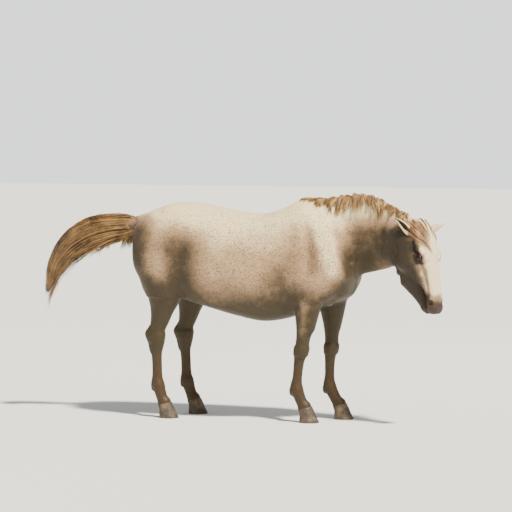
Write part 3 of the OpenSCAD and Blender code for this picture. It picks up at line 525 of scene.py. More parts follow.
for side in (-1, 1):
    fore, hind = FORE_Y * side, HIND_Y * side
    elbow, knee, stifle, hock = ELBOW[side], KNEE[side], STIFLE[side], HOCK[side]
    # Haunch and shoulder
    for z_rows, (px, _), lane, soft in (
        ([
            (1340, 0, 70, 50), (1180, -15, 172, 104), (1050, -20, 192, 120), (930, -14, 154, 118),
            (830, -8, 118, 98)
        ],
         stifle, hind, 0.05),
        ([
            (1380, -40, 60, 40), (1230, 40, 118, 84), (1080, 84, 138, 98), (940, 56, 134, 98),
            (820, 12, 100, 84)
        ],
         elbow, fore, 0.05),
    ):
        rows = [[-z / 1000, (px + f / 1000), 0, h / 1000, w / 1000] for z, f, h, w in z_rows]
        clay.loft((0, lane, 0), (0, 0, -1), FORWARD, LEFTWARD, rows, 2.0, soft)
    column(fore, elbow, knee, [
        (-30, -2, 94, 80), (40, -4, 88, 74), (100, 0, 74, 64), (180, 3, 57, 52), (250, 3, 47, 45),
        (285, 4, 47, 46), (325, 4, 50, 48), (352, 2, 46, 45),
    ], 0.03)
    column(fore, knee, FORE_FETLOCK[side], [
        (-20, 3, 50, 47), (20, 0, 46, 44), (60, -4, 38, 35), (130, -6, 33, 30),
        (190, -6, 33, 31), (235, -7, 39, 37), (268, -5, 42, 39), (290, -2, 40, 37),
    ], 0.02)
    column(hind, stifle, hock, [
        (-40, 0, 118, 98), (40, 0, 108, 88), (110, 0, 82, 68), (190, -3, 63, 52), (245, -10, 55, 45),
        (300, -14, 58, 44), (330, -10, 56, 43),
    ], 0.03)
    clay.muscle(
        (hock[0] - 0.048, hind, hock[1] + 0.062), (hock[0] - 0.062, hind, hock[1] + 0.020), 0.017, 0.025, 0.02
    )
    clay.muscle(
        (hock[0] - 0.060, hind, hock[1] + 0.030), (hock[0] - 0.038, hind, hock[1] - 0.090), 0.022, 0.017, 0.02
    )
    clay.muscle(
        (hock[0] + 0.012, hind, hock[1] + 0.010), (hock[0] + 0.004, hind, hock[1] - 0.06), 0.040, 0.032, 0.02
    )
    column(hind, hock, HIND_FETLOCK[side], [
        (-20, -6, 54, 43), (40, -8, 48, 40), (100, -8, 38, 33), (190, -6, 34, 30),
        (265, -6, 36, 34), (310, -6, 42, 38), (332, -2, 41, 37),
    ], 0.02)
    for (fx, fz), hoof_x, lane in (
        (FORE_FETLOCK[side], FORE_HOOF[side], fore), (HIND_FETLOCK[side], HIND_HOOF[side], hind)
    ):
        clay.muscle((fx, lane, fz), (hoof_x - 0.022, lane, 0.105), 0.041, 0.036, 0.02)
        clay.muscle((fx - 0.030, lane, fz - 0.008), (fx - 0.036, lane, fz - 0.026), 0.020, 0.014, 0.015)
        clay.muscle((hoof_x - 0.012, lane, 0.104), (hoof_x - 0.010, lane, 0.086), 0.044, 0.046, 0.012)
    # Muscles that stand out under the skin of the shoulder, arm, loin and thigh
    clay.muscle((0.47, 0.150 * side, 1.40), (0.60, 0.178 * side, 1.17), 0.040, 0.062, 0.035, 0.7)
    clay.muscle((0.600, 0.174 * side, 1.25), (0.700, 0.162 * side, 1.02), 0.055, 0.082, 0.03, 0.8)
    clay.muscle((0.700, 0.140 * side, 1.03), (0.620, 0.140 * side, 0.90), 0.078, 0.062, 0.035, 0.8)
    clay.muscle((0.40, 0.190 * side, 1.20), (0.465, 0.182 * side, 0.985), 0.062, 0.090, 0.04, 0.7)
    clay.muscle(
        (elbow[0] - 0.055, 0.155 * side, 0.93), (elbow[0] - 0.030, 0.145 * side, 0.835), 0.070, 0.052, 0.03, 0.8
    )
    clay.muscle(
        (elbow[0] + 0.030, 0.150 * side, 0.80), (elbow[0] + 0.010, 0.146 * side, 0.64), 0.058, 0.040, 0.025, 0.8
    )
    clay.muscle((-0.47, 0.130 * side, 1.375), (-0.345, 0.165 * side, 1.335), 0.060, 0.045, 0.035, 0.8)
    clay.muscle(
        (stifle[0] + 0.000, 0.196 * side, 1.09), (stifle[0] + 0.045, 0.190 * side, 0.93), 0.104, 0.078, 0.035,
        0.72
    )
    clay.muscle(
        (stifle[0] - 0.130, 0.120 * side, 1.20), (stifle[0] - 0.100, 0.140 * side, 0.90), 0.098, 0.060, 0.035,
        0.8
    )
    # Hollows: flank, behind the shoulder, behind the elbow, between neck and shoulder, inside the thighs
    clay.muscle(
        (-0.335, 0.332 * side, 1.25), (-0.365, 0.338 * side, 0.95), 0.056, 0.078, 0.05, 0.9, remove=True
    )
    clay.muscle((0.520, 0.250 * side, 1.34), (0.565, 0.268 * side, 1.04), 0.024, 0.036, 0.03, 0.9, remove=True)
    clay.muscle((0.345, 0.330 * side, 1.00), (0.335, 0.296 * side, 0.84), 0.048, 0.054, 0.04, 0.9, remove=True)
    clay.muscle((0.740, 0.190 * side, 1.26), (0.825, 0.178 * side, 1.04), 0.046, 0.062, 0.04, 0.9, remove=True)
    clay.muscle(
        (0.74, 0.136 * side, 1.36), (0.98, (0.14 if side > 0 else 0.17) * side, 1.33), 0.028, 0.026, 0.045, 0.9,
        remove=True
    )
    clay.muscle(
        (0.80, 0.100 * side - 0.02, 1.09), (1.06, 0.096 * side - 0.10, 1.15), 0.020, 0.020, 0.03, 0.9,
        remove=True
    )
clay.muscle((0.76, 0, 0.90), (0.70, 0, 1.06), 0.030, 0.055, 0.05)
clay.muscle((-0.70, 0, 1.32), (-0.815, 0, 1.295), 0.058, 0.046, 0.035)
clay.muscle((-0.60, 0, 0.90), (-0.58, 0, 0.76), 0.040, 0.052, 0.05, 1.0, remove=True)

# Head, from the poll down to the lip, then its cheeks, ridges and bones
head_rows = []
for s, front, back, wide in (
    (-22, -78, -132, 44), (12, -40, -182, 70), (52, -10, -224, 83), (92, 6, -250, 90),
    (180, 12, -292, 94), (250, 4, -334, 86), (290, -1, -336, 78), (338, -5, -222, 66),
    (395, -9, -130, 56), (490, -14, -94, 49), (545, -20, -90, 50), (580, -40, -84, 38),
):
    head_rows.append([s / 1000, (front + back) / 2000, 0, (front - back) / 2000, wide / 1000])
clay.loft(poll, head_d, head_n, head_l, head_rows, 2.15, 0.055)
for side in (-1, 1):
    clay.muscle(on_head(0.120, -0.170, 0.066 * side), on_head(0.215, -0.190, 0.068 * side), 0.062, 0.070, 0.025)
    clay.muscle(on_head(0.175, -0.040, 0.060 * side), on_head(0.222, -0.030, 0.058 * side), 0.030, 0.026, 0.02)
    clay.muscle(on_head(0.262, -0.088, 0.072 * side), on_head(0.395, -0.070, 0.046 * side), 0.014, 0.009, 0.012)
    clay.muscle(on_head(0.285, -0.030, 0.030 * side), on_head(0.470, -0.026, 0.026 * side), 0.028, 0.020, 0.02)
    clay.muscle(on_head(0.505, -0.044, 0.038 * side), on_head(0.545, -0.050, 0.036 * side), 0.026, 0.024, 0.014)
    clay.muscle(
        on_head(0.085, -0.085, 0.075 * side), on_head(0.160, -0.078, 0.080 * side), 0.016, 0.020, 0.03,
        remove=True
    )
    clay.muscle(
        on_head(0.514, -0.020, 0.070 * side), on_head(0.530, -0.036, 0.056 * side), 0.010, 0.013, 0.007,
        remove=True
    )
    clay.muscle(
        on_head(0.300, -0.060, 0.090 * side), on_head(0.380, -0.052, 0.074 * side), 0.014, 0.013, 0.02,
        remove=True
    )
clay.muscle(on_head(0.555, -0.048, -0.014), on_head(0.555, -0.048, 0.014), 0.036, 0.036, 0.02)

# The mass of the poll, between neck and skull
clay.muscle((1.13, -0.140, 1.345), on_head(0.010, -0.085, 0), 0.052, 0.046, 0.05)
clay.muscle((1.12, -0.135, 1.28), on_head(0.10, -0.16, 0), 0.095, 0.090, 0.05)

# Eye sockets, each with a raised brow and a lower rim
eye_at = {}
for side, word in ((-1, "right"), (1, "left")):
    low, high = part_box("eye_" + word)
    eye_at[side] = (np.array(low) + np.array(high)) / 2
    brow = eye_at[side] + 0.025 * head_n - 0.004 * side * head_l
    clay.muscle(brow - 0.026 * head_d, brow + 0.022 * head_d - 0.006 * head_n, 0.013, 0.010, 0.014)
    under = eye_at[side] - 0.025 * head_n - 0.004 * side * head_l
    clay.muscle(under - 0.018 * head_d, under + 0.018 * head_d, 0.009, 0.008, 0.012)
    clay.muscle(eye_at[side], eye_at[side] + 0.030 * side * head_l, 0.021, 0.024, 0.006, remove=True)

points, faces = clay.skin()
points = smoothed(points, faces, SMOOTHING_ROUNDS)


def reached(where, start, end):
    """How far along from start to end each point lies, from 0 to 1."""
    start, end = np.array(start), np.array(end)
    way = end - start
    return np.clip(((where - start) @ way) / (way @ way), 0, 1)


def nearness(where, start, end, radius):
    """1 along a line from start to end, and 0 from the radius outwards."""
    t = reached(where, start, end)[:, None]
    far = np.linalg.norm(where - (np.array(start) + t * (np.array(end) - np.array(start))), axis=1)
    return np.clip(1 - far / radius, 0, 1) ** 1.4


def smooth_normals(points, faces):
    """One normal for each point, weighted by the size of the faces round it."""
    flat = np.cross(points[faces[:, 2]] - points[faces[:, 0]], points[faces[:, 3]] - points[faces[:, 1]])
    total = np.zeros_like(points)
    for corner in range(4):
        for c in range(3):
            total[:, c] += np.bincount(faces[:, corner], flat[:, c], len(points))
    return total / (np.linalg.norm(total, axis=1)[:, None] + 1e-12)


# Above SOFT_FROM the shade levels off, so that shades laid over each other run together
SOFT_FROM, SOFT_RISE, SOFT_SPAN = 0.42, 0.90, 0.68


def zones(where):
    """Red is painted shade on the coat, and painted light where it runs low; green freckles it, blue bares the
    skin and alpha turns it russet.
    """
    x, y, z = where.T
    # Lighter along the top, partly the paler coat there and partly painted light; darker underneath as painted
    # shade
    shade = 0.40 - 0.48 * np.clip((z - 1.13) / 0.26, 0, 1) + 1.25 * np.clip((1.00 - z) / 0.30, 0, 1) ** 1.6
    dots = np.clip((z - 0.70) / 0.14, 0, 1) * np.clip((1.47 - z) / 0.20, 0.12, 1)
    bare = np.zeros(len(where))
    russet = 0.45 * np.clip((0.58 - z) / 0.22, 0, 1)
    # Painted shade laid along lines: in the flank hollow, down the back of the buttock, over the haunch, under
    # the stifle, behind the shoulder, over the shoulder blade and elbow, along and under the neck, and on the
    # chest. The ones with a negative amount are painted highlights on the thigh, the point of the shoulder and
    # the forearm
    for side in (-1, 1):
        for start, end, radius, dark in (
            ((-0.340, 0.28 * side, 1.14), (-0.378, 0.27 * side, 0.88), 0.24, 0.95),
            ((-0.72, 0.14 * side, 1.24), (-0.67, 0.16 * side, 0.86), 0.24, 1.50),
            ((-0.60, 0.20 * side, 1.24), (-0.48, 0.22 * side, 1.18), 0.22, 0.42),
            ((-0.55, 0.24 * side, 0.86), (-0.52, 0.22 * side, 0.76), 0.20, 0.50),
            ((-0.53, 0.26 * side, 1.08), (-0.49, 0.25 * side, 0.97), 0.10, -0.26),
            ((0.53, 0.24 * side, 1.34), (0.56, 0.25 * side, 1.02), 0.060, 0.50),
            ((0.45, 0.24 * side, 1.36), (0.42, 0.25 * side, 1.16), 0.16, 0.30),
            ((0.34, 0.27 * side, 0.98), (0.42, 0.20 * side, 0.80), 0.20, 0.62),
            ((0.66, 0.22 * side, 1.24), (0.71, 0.22 * side, 1.02), 0.085, -0.55),
            ((0.49, 0.20 * side, 0.78), (0.47, 0.20 * side, 0.60), 0.085, -0.90),
            ((0.86, 0.14 * side - 0.03, 1.21), (1.20, 0.14 * side - 0.12, 1.17), 0.18, 0.90),
            ((0.80, 0.12 * side, 1.06), (1.22, 0.10 * side - 0.16, 1.10), 0.19, 0.80),
            ((0.84, 0.14 * side - 0.02, 1.31), (1.02, 0.14 * side - 0.06, 1.29), 0.09, 0.34),
            ((0.86, 0.14 * side - 0.02, 1.30), (1.16, 0.12 * side - 0.12, 1.27), 0.26, 0.62),
            ((0.84, 0.10 * side, 1.02), (0.72, 0.10 * side, 0.78), 0.19, 1.20),
        ):
            shade += dark * nearness(where, start, end, radius)
    over = np.maximum(shade - SOFT_FROM, 0)
    shade = np.minimum(shade, SOFT_FROM) + SOFT_RISE * (1 - np.exp(-over / SOFT_SPAN))
    # Painted shadow on the far-side legs low down, where the body shades them
    shade += 0.45 * np.clip(y / 0.06, 0, 1) * np.clip((0.86 - z) / 0.12, 0, 1)
    down = (where - poll) @ head_d
    out = (where - poll) @ head_n
    head = np.clip((x - 1.07) / 0.06, 0, 1) * np.clip((down + 0.05) / 0.08, 0, 1)
    # On the head the forehead front stays light and the sides of the face and the cheeks are darker as painted
    # shade; the muzzle darkens as its own dark skin
    face = -0.08 + 0.72 * np.clip((-0.014 - out) / 0.055, 0, 1) + 0.75 * np.clip((-0.075 - out) / 0.09, 0, 1)
    face += (
        1.15 * np.clip((down - 0.440) / 0.09, 0, 1)
        + 0.20 * np.clip((down - 0.34) / 0.1, 0, 1) * np.clip((-0.02 - out) / 0.02, 0, 1)
    )
    shade = shade * (1 - head) + face * head
    dots = dots * (1 - 0.75 * head) * np.clip((1.18 - x) / 0.3, 0.35, 1)
    muzzle = np.clip((down - 0.44) / 0.11, 0, 1) * head
    side_face = np.clip(1 - np.abs(down - 0.37) / 0.17, 0, 1) * np.clip((-0.022 - out) / 0.03, 0, 1) * head
    bare = np.maximum(bare, np.maximum(0.9 * muzzle * np.clip((-0.012 - out) / 0.02, 0.8, 1), 0.5 * side_face))
    for side in (-1, 1):
        # Painted highlight along the facial crest, and painted shade in the groove beside it
        crest = nearness(
            where, on_head(0.245, -0.070, 0.075 * side), on_head(0.430, -0.052, 0.048 * side), 0.020
        )
        shade -= 0.55 * crest
        groove_shade = nearness(
            where, on_head(0.300, -0.030, 0.060 * side), on_head(0.470, -0.036, 0.044 * side), 0.014
        )
        shade += 0.45 * groove_shade
        # Darker round the eye: the dark skin there with painted shade in the socket; the russet ring is its own
        # stain
        ring = np.linalg.norm(where - eye_at[side], axis=1)
        shade += 1.0 * np.clip((0.054 - ring) / 0.022, 0, 1)
        russet = np.maximum(russet, 0.9 * np.clip((0.042 - ring) / 0.014, 0, 1))
        tear = nearness(
            where, eye_at[side] + 0.03 * head_d, eye_at[side] + 0.15 * head_d + 0.02 * head_n, 0.034
        )
        shade += 0.55 * tear
        # Painted shade in the hollow of the temple
        temple_shade = nearness(
            where, eye_at[side] - 0.03 * head_d - 0.02 * head_n, eye_at[side] - 0.10 * head_d - 0.05 * head_n,
            0.045
        )
        shade += 0.45 * temple_shade
        # Darker in and round the nostril: painted shade in the opening over its dark skin
        nose = np.linalg.norm(where - on_head(0.522, -0.026, 0.060 * side), axis=1)
        shade += 1.4 * np.clip((0.026 - nose) / 0.014, 0, 1)
        russet = np.maximum(russet, np.clip((0.022 - nose) / 0.010, 0, 1))
    russet = np.maximum(russet, 0.55 * np.clip((-0.728 - x) / 0.02, 0, 1) * (z > 1.2))
    return np.stack(
        [np.clip(shade, 0, 1.3), np.clip(dots, 0, 1), np.clip(bare, 0, 1), np.clip(russet, 0, 1)], 1
    )


zone_of_point = zones(points)
normal_of_point = smooth_normals(points, faces)
centre = points[faces].mean(1)


def skin_piece(name, chosen, material):
    """One closed piece of the hide from the chosen faces, with the whole hide's normals along its cuts."""
    part = faces[chosen]
    used, renamed = np.unique(part, return_inverse=True)
    part = renamed.reshape(part.shape)
    where = points[used]
    sides = np.concatenate([part[:, [i, (i + 1) % 4]] for i in range(4)])
    lookup = {(int(a), int(b)) for a, b in sides}
    rim = {a: b for b, a in lookup if (a, b) not in lookup}
    corners = [tuple(p) for p in where]
    quads = [tuple(int(i) for i in q) for q in part]
    extra = []
    while rim:
        start, b = next(iter(rim.items()))
        loop = [start]
        while b != start and b in rim:
            loop.append(b)
            b = rim.pop(b) if b != start else start
        rim.pop(start, None)
        if len(loop) > 2:
            hub = len(corners)
            corners.append(tuple(np.mean([corners[i] for i in loop], 0)))
            extra += [(loop[i], loop[(i + 1) % len(loop)], hub) for i in range(len(loop))]
    mesh = bpy.data.meshes.new(name)
    mesh.from_pydata(corners, [], quads + extra)
    mesh.validate()
    mesh.polygons.foreach_set("use_smooth", [True] * len(mesh.polygons))
    colours = np.zeros((len(corners), 4), np.float32)
    colours[:len(used)] = zone_of_point[used]
    mesh.attributes.new("zone", "FLOAT_COLOR", "POINT").data.foreach_set("color", colours.ravel())
    normals = np.zeros((len(corners), 3))
    normals[:len(used)] = normal_of_point[used]
    mesh.normals_split_custom_set_from_vertices([tuple(v) for v in normals])
    mesh.materials.append(material)
    piece = new_object(name, mesh)
    return piece


def past(where, plane_point, plane_way):
    """True for points on the far side of a plane."""
    return (where - np.array(plane_point)) @ np.array(plane_way) > 0


# Planes where the hide is parted: neck base, mid neck and poll
BASE_WAY = np.array([0.842, 0, 0.539])
BASE_START = np.array([0.800, 0, 0.985])
MID_WAY = np.array([0.968, 0, 0.252])
MID_START = np.array([0.915, 0, 1.010])
POLL_WAY = np.array([0.880, -0.400, -0.240]) / np.linalg.norm([0.880, -0.400, -0.240])
POLL_END = np.array([1.172, -0.140, 1.25])
BASE_LENGTH, MID_LENGTH, POLL_LENGTH = 0.105, 0.110, 0.125
x, y, z = centre.T
taken = np.zeros(len(faces), bool)
groups = {}


def choose(name, where):
    """Gives a piece the faces that no earlier piece has taken."""
    chosen = where & ~taken
    taken[chosen] = True
    groups[name] = chosen


in_front = (x > 0.40) | ((x > 0.15) & (z < 0.52))
choose("hide_head", past(centre, POLL_END + 0.004 * POLL_WAY, POLL_WAY) & (x > 1.05))
poll_start = POLL_END - POLL_LENGTH * POLL_WAY
choose("hide_poll", past(centre, poll_start - 0.002 * POLL_WAY, POLL_WAY) & (x > 0.98))
choose("hide_mid_neck", past(centre, MID_START - 0.002 * MID_WAY, MID_WAY) & (x > 0.7) & (z > 0.96))
choose("hide_neck_base", past(centre, BASE_START - 0.002 * BASE_WAY, BASE_WAY) & (z > 0.98))
FORE_TOP, FORE_LOW = 0.722, 0.585
HIND_TOP, HIND_LOW = 0.765, 0.640
FETLOCK_CUT, KNEE_CUT, HOCK_CUT = 0.062, 0.072, 0.080
for side, word in ((-1, "right"), (1, "left")):
    lane = y * side > 0
    knee_z, hock_z = KNEE[side][1], HOCK[side][1]
    fetlock_z, hind_fetlock_z = FORE_FETLOCK[side][1], HIND_FETLOCK[side][1]
    fore_leg = in_front & lane & (z < FORE_TOP)
    choose("hide_fore_foot_" + word, fore_leg & (z < fetlock_z + FETLOCK_CUT))
    choose("hide_knee_" + word, fore_leg & (z < knee_z + KNEE_CUT))
    choose("hide_forearm_" + word, fore_leg)
    hind_leg = (x < -0.30) & lane & (z < HIND_TOP)
    choose("hide_hind_foot_" + word, hind_leg & (z < hind_fetlock_z + FETLOCK_CUT))
    choose("hide_hock_" + word, hind_leg & (z < hock_z + HOCK_CUT))
    choose("hide_gaskin_" + word, hind_leg)
choose("hide_trunk", np.ones(len(faces), bool))

pieces = {}
for name, chosen in groups.items():
    material = face_coat if name in ("hide_head", "hide_poll") else body_coat
    if any(word in name for word in ("foot", "knee", "hock", "forearm", "gaskin")):
        material = body_coat
    pieces[name] = skin_piece(name, chosen, material)

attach(pieces["hide_trunk"], "trunk")
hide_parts("trunk_shell_right", "trunk_shell_left", "belly_hatch")
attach(pieces["hide_head"], "head")
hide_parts("head_shell")
for name, first, second, start, end, stands_for in (
    (
        "hide_neck_base", "trunk", "neck_lower", BASE_START, BASE_START + BASE_LENGTH * BASE_WAY,
        ["neck_lower_shell"]
    ),
    (
        "hide_mid_neck", "neck_lower", "neck_upper", MID_START, MID_START + MID_LENGTH * MID_WAY,
        ["neck_upper_shell"]
    ),
    ("hide_poll", "neck_upper", "head", poll_start, POLL_END, []),
):
    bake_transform(pieces[name])
    if stands_for:
        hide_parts(*stands_for)
for side, word in ((-1, "right"), (1, "left")):
    for limb, upper, cannon, foot, lane, top, low, (jx, jz), (fx, fz), nodes in (
        ("forearm", "foreleg_", "fore_cannon_", "fore_foot_", FORE_Y, FORE_TOP, FORE_LOW,
         KNEE[side], FORE_FETLOCK[side], ("forearm_shell_", "fore_cannon_shell_", "fore_pastern_")),
        ("gaskin", "hindleg_", "hind_cannon_", "hind_foot_", HIND_Y, HIND_TOP, HIND_LOW,
         HOCK[side], HIND_FETLOCK[side], ("gaskin_shell_", "hind_cannon_shell_", "hind_pastern_")),
    ):
        mid = "hide_knee_" if limb == "forearm" else "hide_hock_"
        end_piece = "hide_fore_foot_" if limb == "forearm" else "hide_hind_foot_"
        lane *= side
        for piece_name, first, second, start, end, stood in (
            ("hide_" + limb + "_" + word, "trunk", upper + word, (jx, lane, top), (jx, lane, low), nodes[0]),
            (mid + word, upper + word, cannon + word, (jx, lane, jz + 0.066), (jx, lane, jz - 0.060), nodes[1]),
            (
                end_piece + word, cannon + word, foot + word, (fx, lane, fz + 0.050), (fx, lane, fz - 0.030),
                nodes[2]
            ),
        ):
            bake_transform(pieces[piece_name])
            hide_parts(stood + word)


# ---------------------------------------------------------------------------
# The lower jaw: its own closed skin over the jaw bar, tucked up between the
# cheeks, so that the mouth opens along the line of the lips.
# ---------------------------------------------------------------------------
jaw_ends = np.array([on_head(0.25, -0.16, 0), on_head(0.60, -0.12, 0)])
JAW_MARGIN, JAW_GRAIN = 0.12, 0.0044
jaw_clay = Clay(
    *[np.arange(a - JAW_MARGIN, b + JAW_MARGIN, JAW_GRAIN) for a, b in zip(jaw_ends.min(0), jaw_ends.max(0))]
)
jaw_rows = []
for s, front, back, wide in (
    (236, -150, -316, 40), (284, -132, -342, 64), (345, -112, -326, 60), (400, -100, -276, 52),
    (464, -94, -214, 44), (520, -90, -170, 40), (562, -92, -142, 33), (580, -100, -124, 20),
):
    jaw_rows.append([s / 1000, (front + back) / 2000, 0, (front - back) / 2000, wide / 1000])
jaw_clay.loft(poll, head_d, head_n, head_l, jaw_rows, 2.2, 0.01)
jaw_clay.muscle(on_head(0.535, -0.128, -0.010), on_head(0.535, -0.128, 0.010), 0.024, 0.024, 0.02)
jaw_clay.muscle(on_head(0.470, -0.222, 0), on_head(0.350, -0.326, 0), 0.014, 0.018, 0.02, remove=True)
hide_points, hide_faces, hide_zones, hide_normals = points, faces, zone_of_point, normal_of_point
points, faces = jaw_clay.skin()
points = smoothed(points, faces, SMOOTHING_ROUNDS)
zone_of_point = zones(points)
zone_of_point[:, 2] = np.maximum(
    zone_of_point[:, 2], 0.55 * np.clip(((points - poll) @ head_d - 0.40) / 0.1, 0, 1)
)
normal_of_point = smooth_normals(points, faces)
jaw = skin_piece("jaw_skin", np.ones(len(faces), bool), face_coat)
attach(jaw, "jaw")
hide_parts("lower_jaw")
points, faces, zone_of_point, normal_of_point = hide_points, hide_faces, hide_zones, hide_normals


# ---------------------------------------------------------------------------
# Ears: leaf-shaped cups of felted hide, pale outside and dark with long hair inside, the dark deepened as
# painted shade in the cup, each on its own small turning post.
# ---------------------------------------------------------------------------
def unit(v):
    return np.array(v, float) / np.linalg.norm(v)


def ring_piece(name, rings, materials, smooth=True, slots=None, zone=None):
    """Joins closed rings of equal length into one skin, with a fan over each end."""
    rings = [np.array(r) for r in rings]
    n = len(rings[0])
    corners = [tuple(p) for r in rings for p in r]
    quads, which = [], []
    for i in range(len(rings) - 1):
        for k in range(n):
            quads.append((i * n + k, i * n + (k + 1) % n, (i + 1) * n + (k + 1) % n, (i + 1) * n + k))
            which.append(0 if slots is None else slots[k])
    for i, ring in ((0, rings[0]), (len(rings) - 1, rings[-1])):
        hub = len(corners)
        corners.append(tuple(ring.mean(0)))
        for k in range(n):
            pair = (i * n + (k + 1) % n, i * n + k) if i == 0 else (i * n + k, i * n + (k + 1) % n)
            quads.append((*pair, hub))
            which.append(0)
    mesh = bpy.data.meshes.new(name)
    mesh.from_pydata(corners, [], quads)
    mesh.polygons.foreach_set("use_smooth", [smooth] * len(mesh.polygons))
    for material in materials:
        mesh.materials.append(material)
    mesh.polygons.foreach_set("material_index", which)
    if zone is not None:
        mesh.attributes.new("zone", "FLOAT_COLOR", "POINT").data.foreach_set("color", list(zone) * len(corners))
    shape = bmesh.new()
    shape.from_mesh(mesh)
    bmesh.ops.recalc_face_normals(shape, faces=shape.faces)
    shape.to_mesh(mesh)
    shape.free()
    piece = new_object(name, mesh)
    return piece


# Inside the ear cup: long brown hair, darkened further as painted shade
ear_inside_shade, wires, shader, where = new_material("ear_inside_shade")
down_hair = wires.noise(wires.stretched(where, (160, 160, 30)), 1.0, 4, 0.7)
wires.join(
    wires.mix(
        wires.ramp(down_hair, 0.4, 0.75), linear(46, 32, 24), linear(104, 78, 58)
    ), shader.inputs["Base Color"]
)
wires.join(wires.math("MULTIPLY_ADD", down_hair, 0.3, 0.6), shader.inputs["Roughness"])
wires.relief(shader, down_hair, 0.5, 0.003)

EAR_LENGTH = 0.150
EAR_WAY = {-1: unit((-0.356, -0.268, 0.895)), 1: unit((0.316, 0.766, 0.560))}
EAR_OPEN = {-1: unit((0.30, -0.95, 0.10)), 1: unit((-0.667, 0.60, -0.444))}
EAR_ROOT = {side: on_head(0.055, -0.115, 0.068 * side) - 0.010 * EAR_WAY[side] for side in (-1, 1)}
EAR_BEND = {-1: np.array([-0.052, 0.0, -0.006]), 1: np.array([0.064, 0.020, -0.008])}
for side, word in ((-1, "right"), (1, "left")):
    way = EAR_WAY[side]
    front = unit(EAR_OPEN[side] - (EAR_OPEN[side] @ way) * way)
    across = np.cross(way, front)
    rings = []
    for t in np.linspace(0, 1, 22):
        wide = np.interp(
            t, [0, .12, .3, .5, .7, .86, .96, 1], [.019, .024, .029, .028, .021, .012, .005, .0015]
        )
        deep = np.interp(t, [0, .2, .45, .7, .9, 1], [.018, .020, .017, .012, .006, .0015])
        gape = math.radians(np.interp(t, [0, .22, .4, .7, 1], [177, 168, 148, 138, 150]))
        wall = np.interp(t, [0, .2, .8, 1], [.0070, .0055, .0040, .0006])
        middle = EAR_ROOT[side] + way * ((t * 1.04 - 0.05) * EAR_LENGTH) + EAR_BEND[side] * t * t
        angles = np.linspace(-gape, gape, 13)
        outer = [middle + across * wide * math.sin(a) - front * deep * math.cos(a) for a in angles]
        inner = [
            middle + across * max(wide - wall, .0004) * math.sin(a)
            - front * max(deep - wall, .0004) * math.cos(a)
            for a in angles[::-1]
        ]
        rings.append(outer + inner)
    slots = [1 if 13 <= k < 25 else 0 for k in range(26)]
    ear = ring_piece(
        "ear_cup_" + word, rings, [face_coat, ear_inside_shade], slots=slots, zone=(0.14, 0.05, 0.0, 0.0)
    )
    round_off = ear.modifiers.new("round", "SUBSURF")
    round_off.levels = round_off.render_levels = 1
    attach(ear, "ear_" + word)
    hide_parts("ear_" + word)


# ---------------------------------------------------------------------------
# Eyes: glossy cast-resin balls, nearly black with a brown iris and a long
# level pupil, and an upper lid that swings over each one.
# ---------------------------------------------------------------------------
LID_REST, LID_BACK = 52, 112
lid_skin, wires, shader, where = new_material("lid_skin")
creases = wires.noise(wires.stretched(where, (260, 260, 120)), 1.0, 4, 0.6)
wires.join(wires.mix(creases, linear(26, 19, 16), linear(66, 48, 40)), shader.inputs["Base Color"])
wires.join(wires.math("MULTIPLY_ADD", creases, 0.3, 0.35), shader.inputs["Roughness"])
wires.relief(shader, creases, 0.4, 0.002)

eye_centres = {}
for side, word in ((-1, "right"), (1, "left")):
    middle = eye_at[side]
    eye_centres[side] = middle
    low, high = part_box("eye_" + word)
    ball_r = (high[2] - low[2]) / 2
    out = side * head_l
    gloss, wires, shader, where = new_material("eye_gloss_" + word)
    gaze = middle + out * ball_r
    offset = wires.node("ShaderNodeVectorMath", {0: where, 1: tuple(gaze)}, operation="SUBTRACT").outputs[0]
    along = wires.node(
        "ShaderNodeVectorMath", {0: offset, 1: tuple(head_d)}, operation="DOT_PRODUCT"
    ).outputs["Value"]
    upward = wires.node(
        "ShaderNodeVectorMath", {0: offset, 1: tuple(head_n)}, operation="DOT_PRODUCT"
    ).outputs["Value"]
    away = wires.math("SQRT", wires.math("ADD", wires.math("POWER", wires.math("DIVIDE", along, 0.010), 2.0),
                                        wires.math("POWER", wires.math("DIVIDE", upward, 0.006), 2.0)))
    rim = wires.node("ShaderNodeVectorMath", {0: offset}, operation="LENGTH").outputs["Value"]
    iris = wires.mix(wires.ramp(away, 0.8, 1.15), (0.004, 0.003, 0.003, 1), linear(40, 24, 14))
    ball = wires.mix(wires.ramp(rim, 0.0145, 0.0175), iris, linear(30, 22, 20))
    wires.join(ball, shader.inputs["Base Color"])
    shader.inputs["Roughness"].default_value = 0.10
    shader.inputs["Coat Weight"].default_value = 0.1
    shader.inputs["Specular IOR Level"].default_value = 0.25
    shape = bmesh.new()
    bmesh.ops.create_uvsphere(shape, u_segments=40, v_segments=24, radius=ball_r)
    mesh = bpy.data.meshes.new("eyeball_" + word)
    shape.to_mesh(mesh)
    shape.free()
    for v in mesh.vertices:
        direction = np.array(v.co) / ball_r
        bulge = 0.0022 * max(0.0, float(direction @ out) - 0.72) / 0.28
        v.co = Vector(middle + direction * (ball_r + bulge))
    mesh.polygons.foreach_set("use_smooth", [True] * len(mesh.polygons))
    mesh.materials.append(gloss)
    eyeball = new_object("eyeball_" + word, mesh)
    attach(eyeball, "head")
    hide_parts("eye_" + word)
    low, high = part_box("eyelid_" + word)
    lid_r = max((high[2] - low[2]) / 2, ball_r + 0.003)
    rings = []
    for psi in np.radians(np.linspace(-78, 78, 20)):
        ring = []
        for radius, turns in (
            (lid_r, np.linspace(LID_REST, LID_BACK, 12)), (ball_r + 0.0012, np.linspace(LID_BACK, LID_REST, 12))
        ):
            for theta in np.radians(turns):
                ring.append(middle + radius * (math.cos(psi) * (
                    math.cos(theta) * out + math.sin(theta) * head_n
                )
                                               + math.sin(psi) * head_d))
        rings.append(ring)
    lid = ring_piece("upper_lid_" + word, rings, [lid_skin])
    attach(lid, "eyelid_" + word)
    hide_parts("eyelid_" + word)


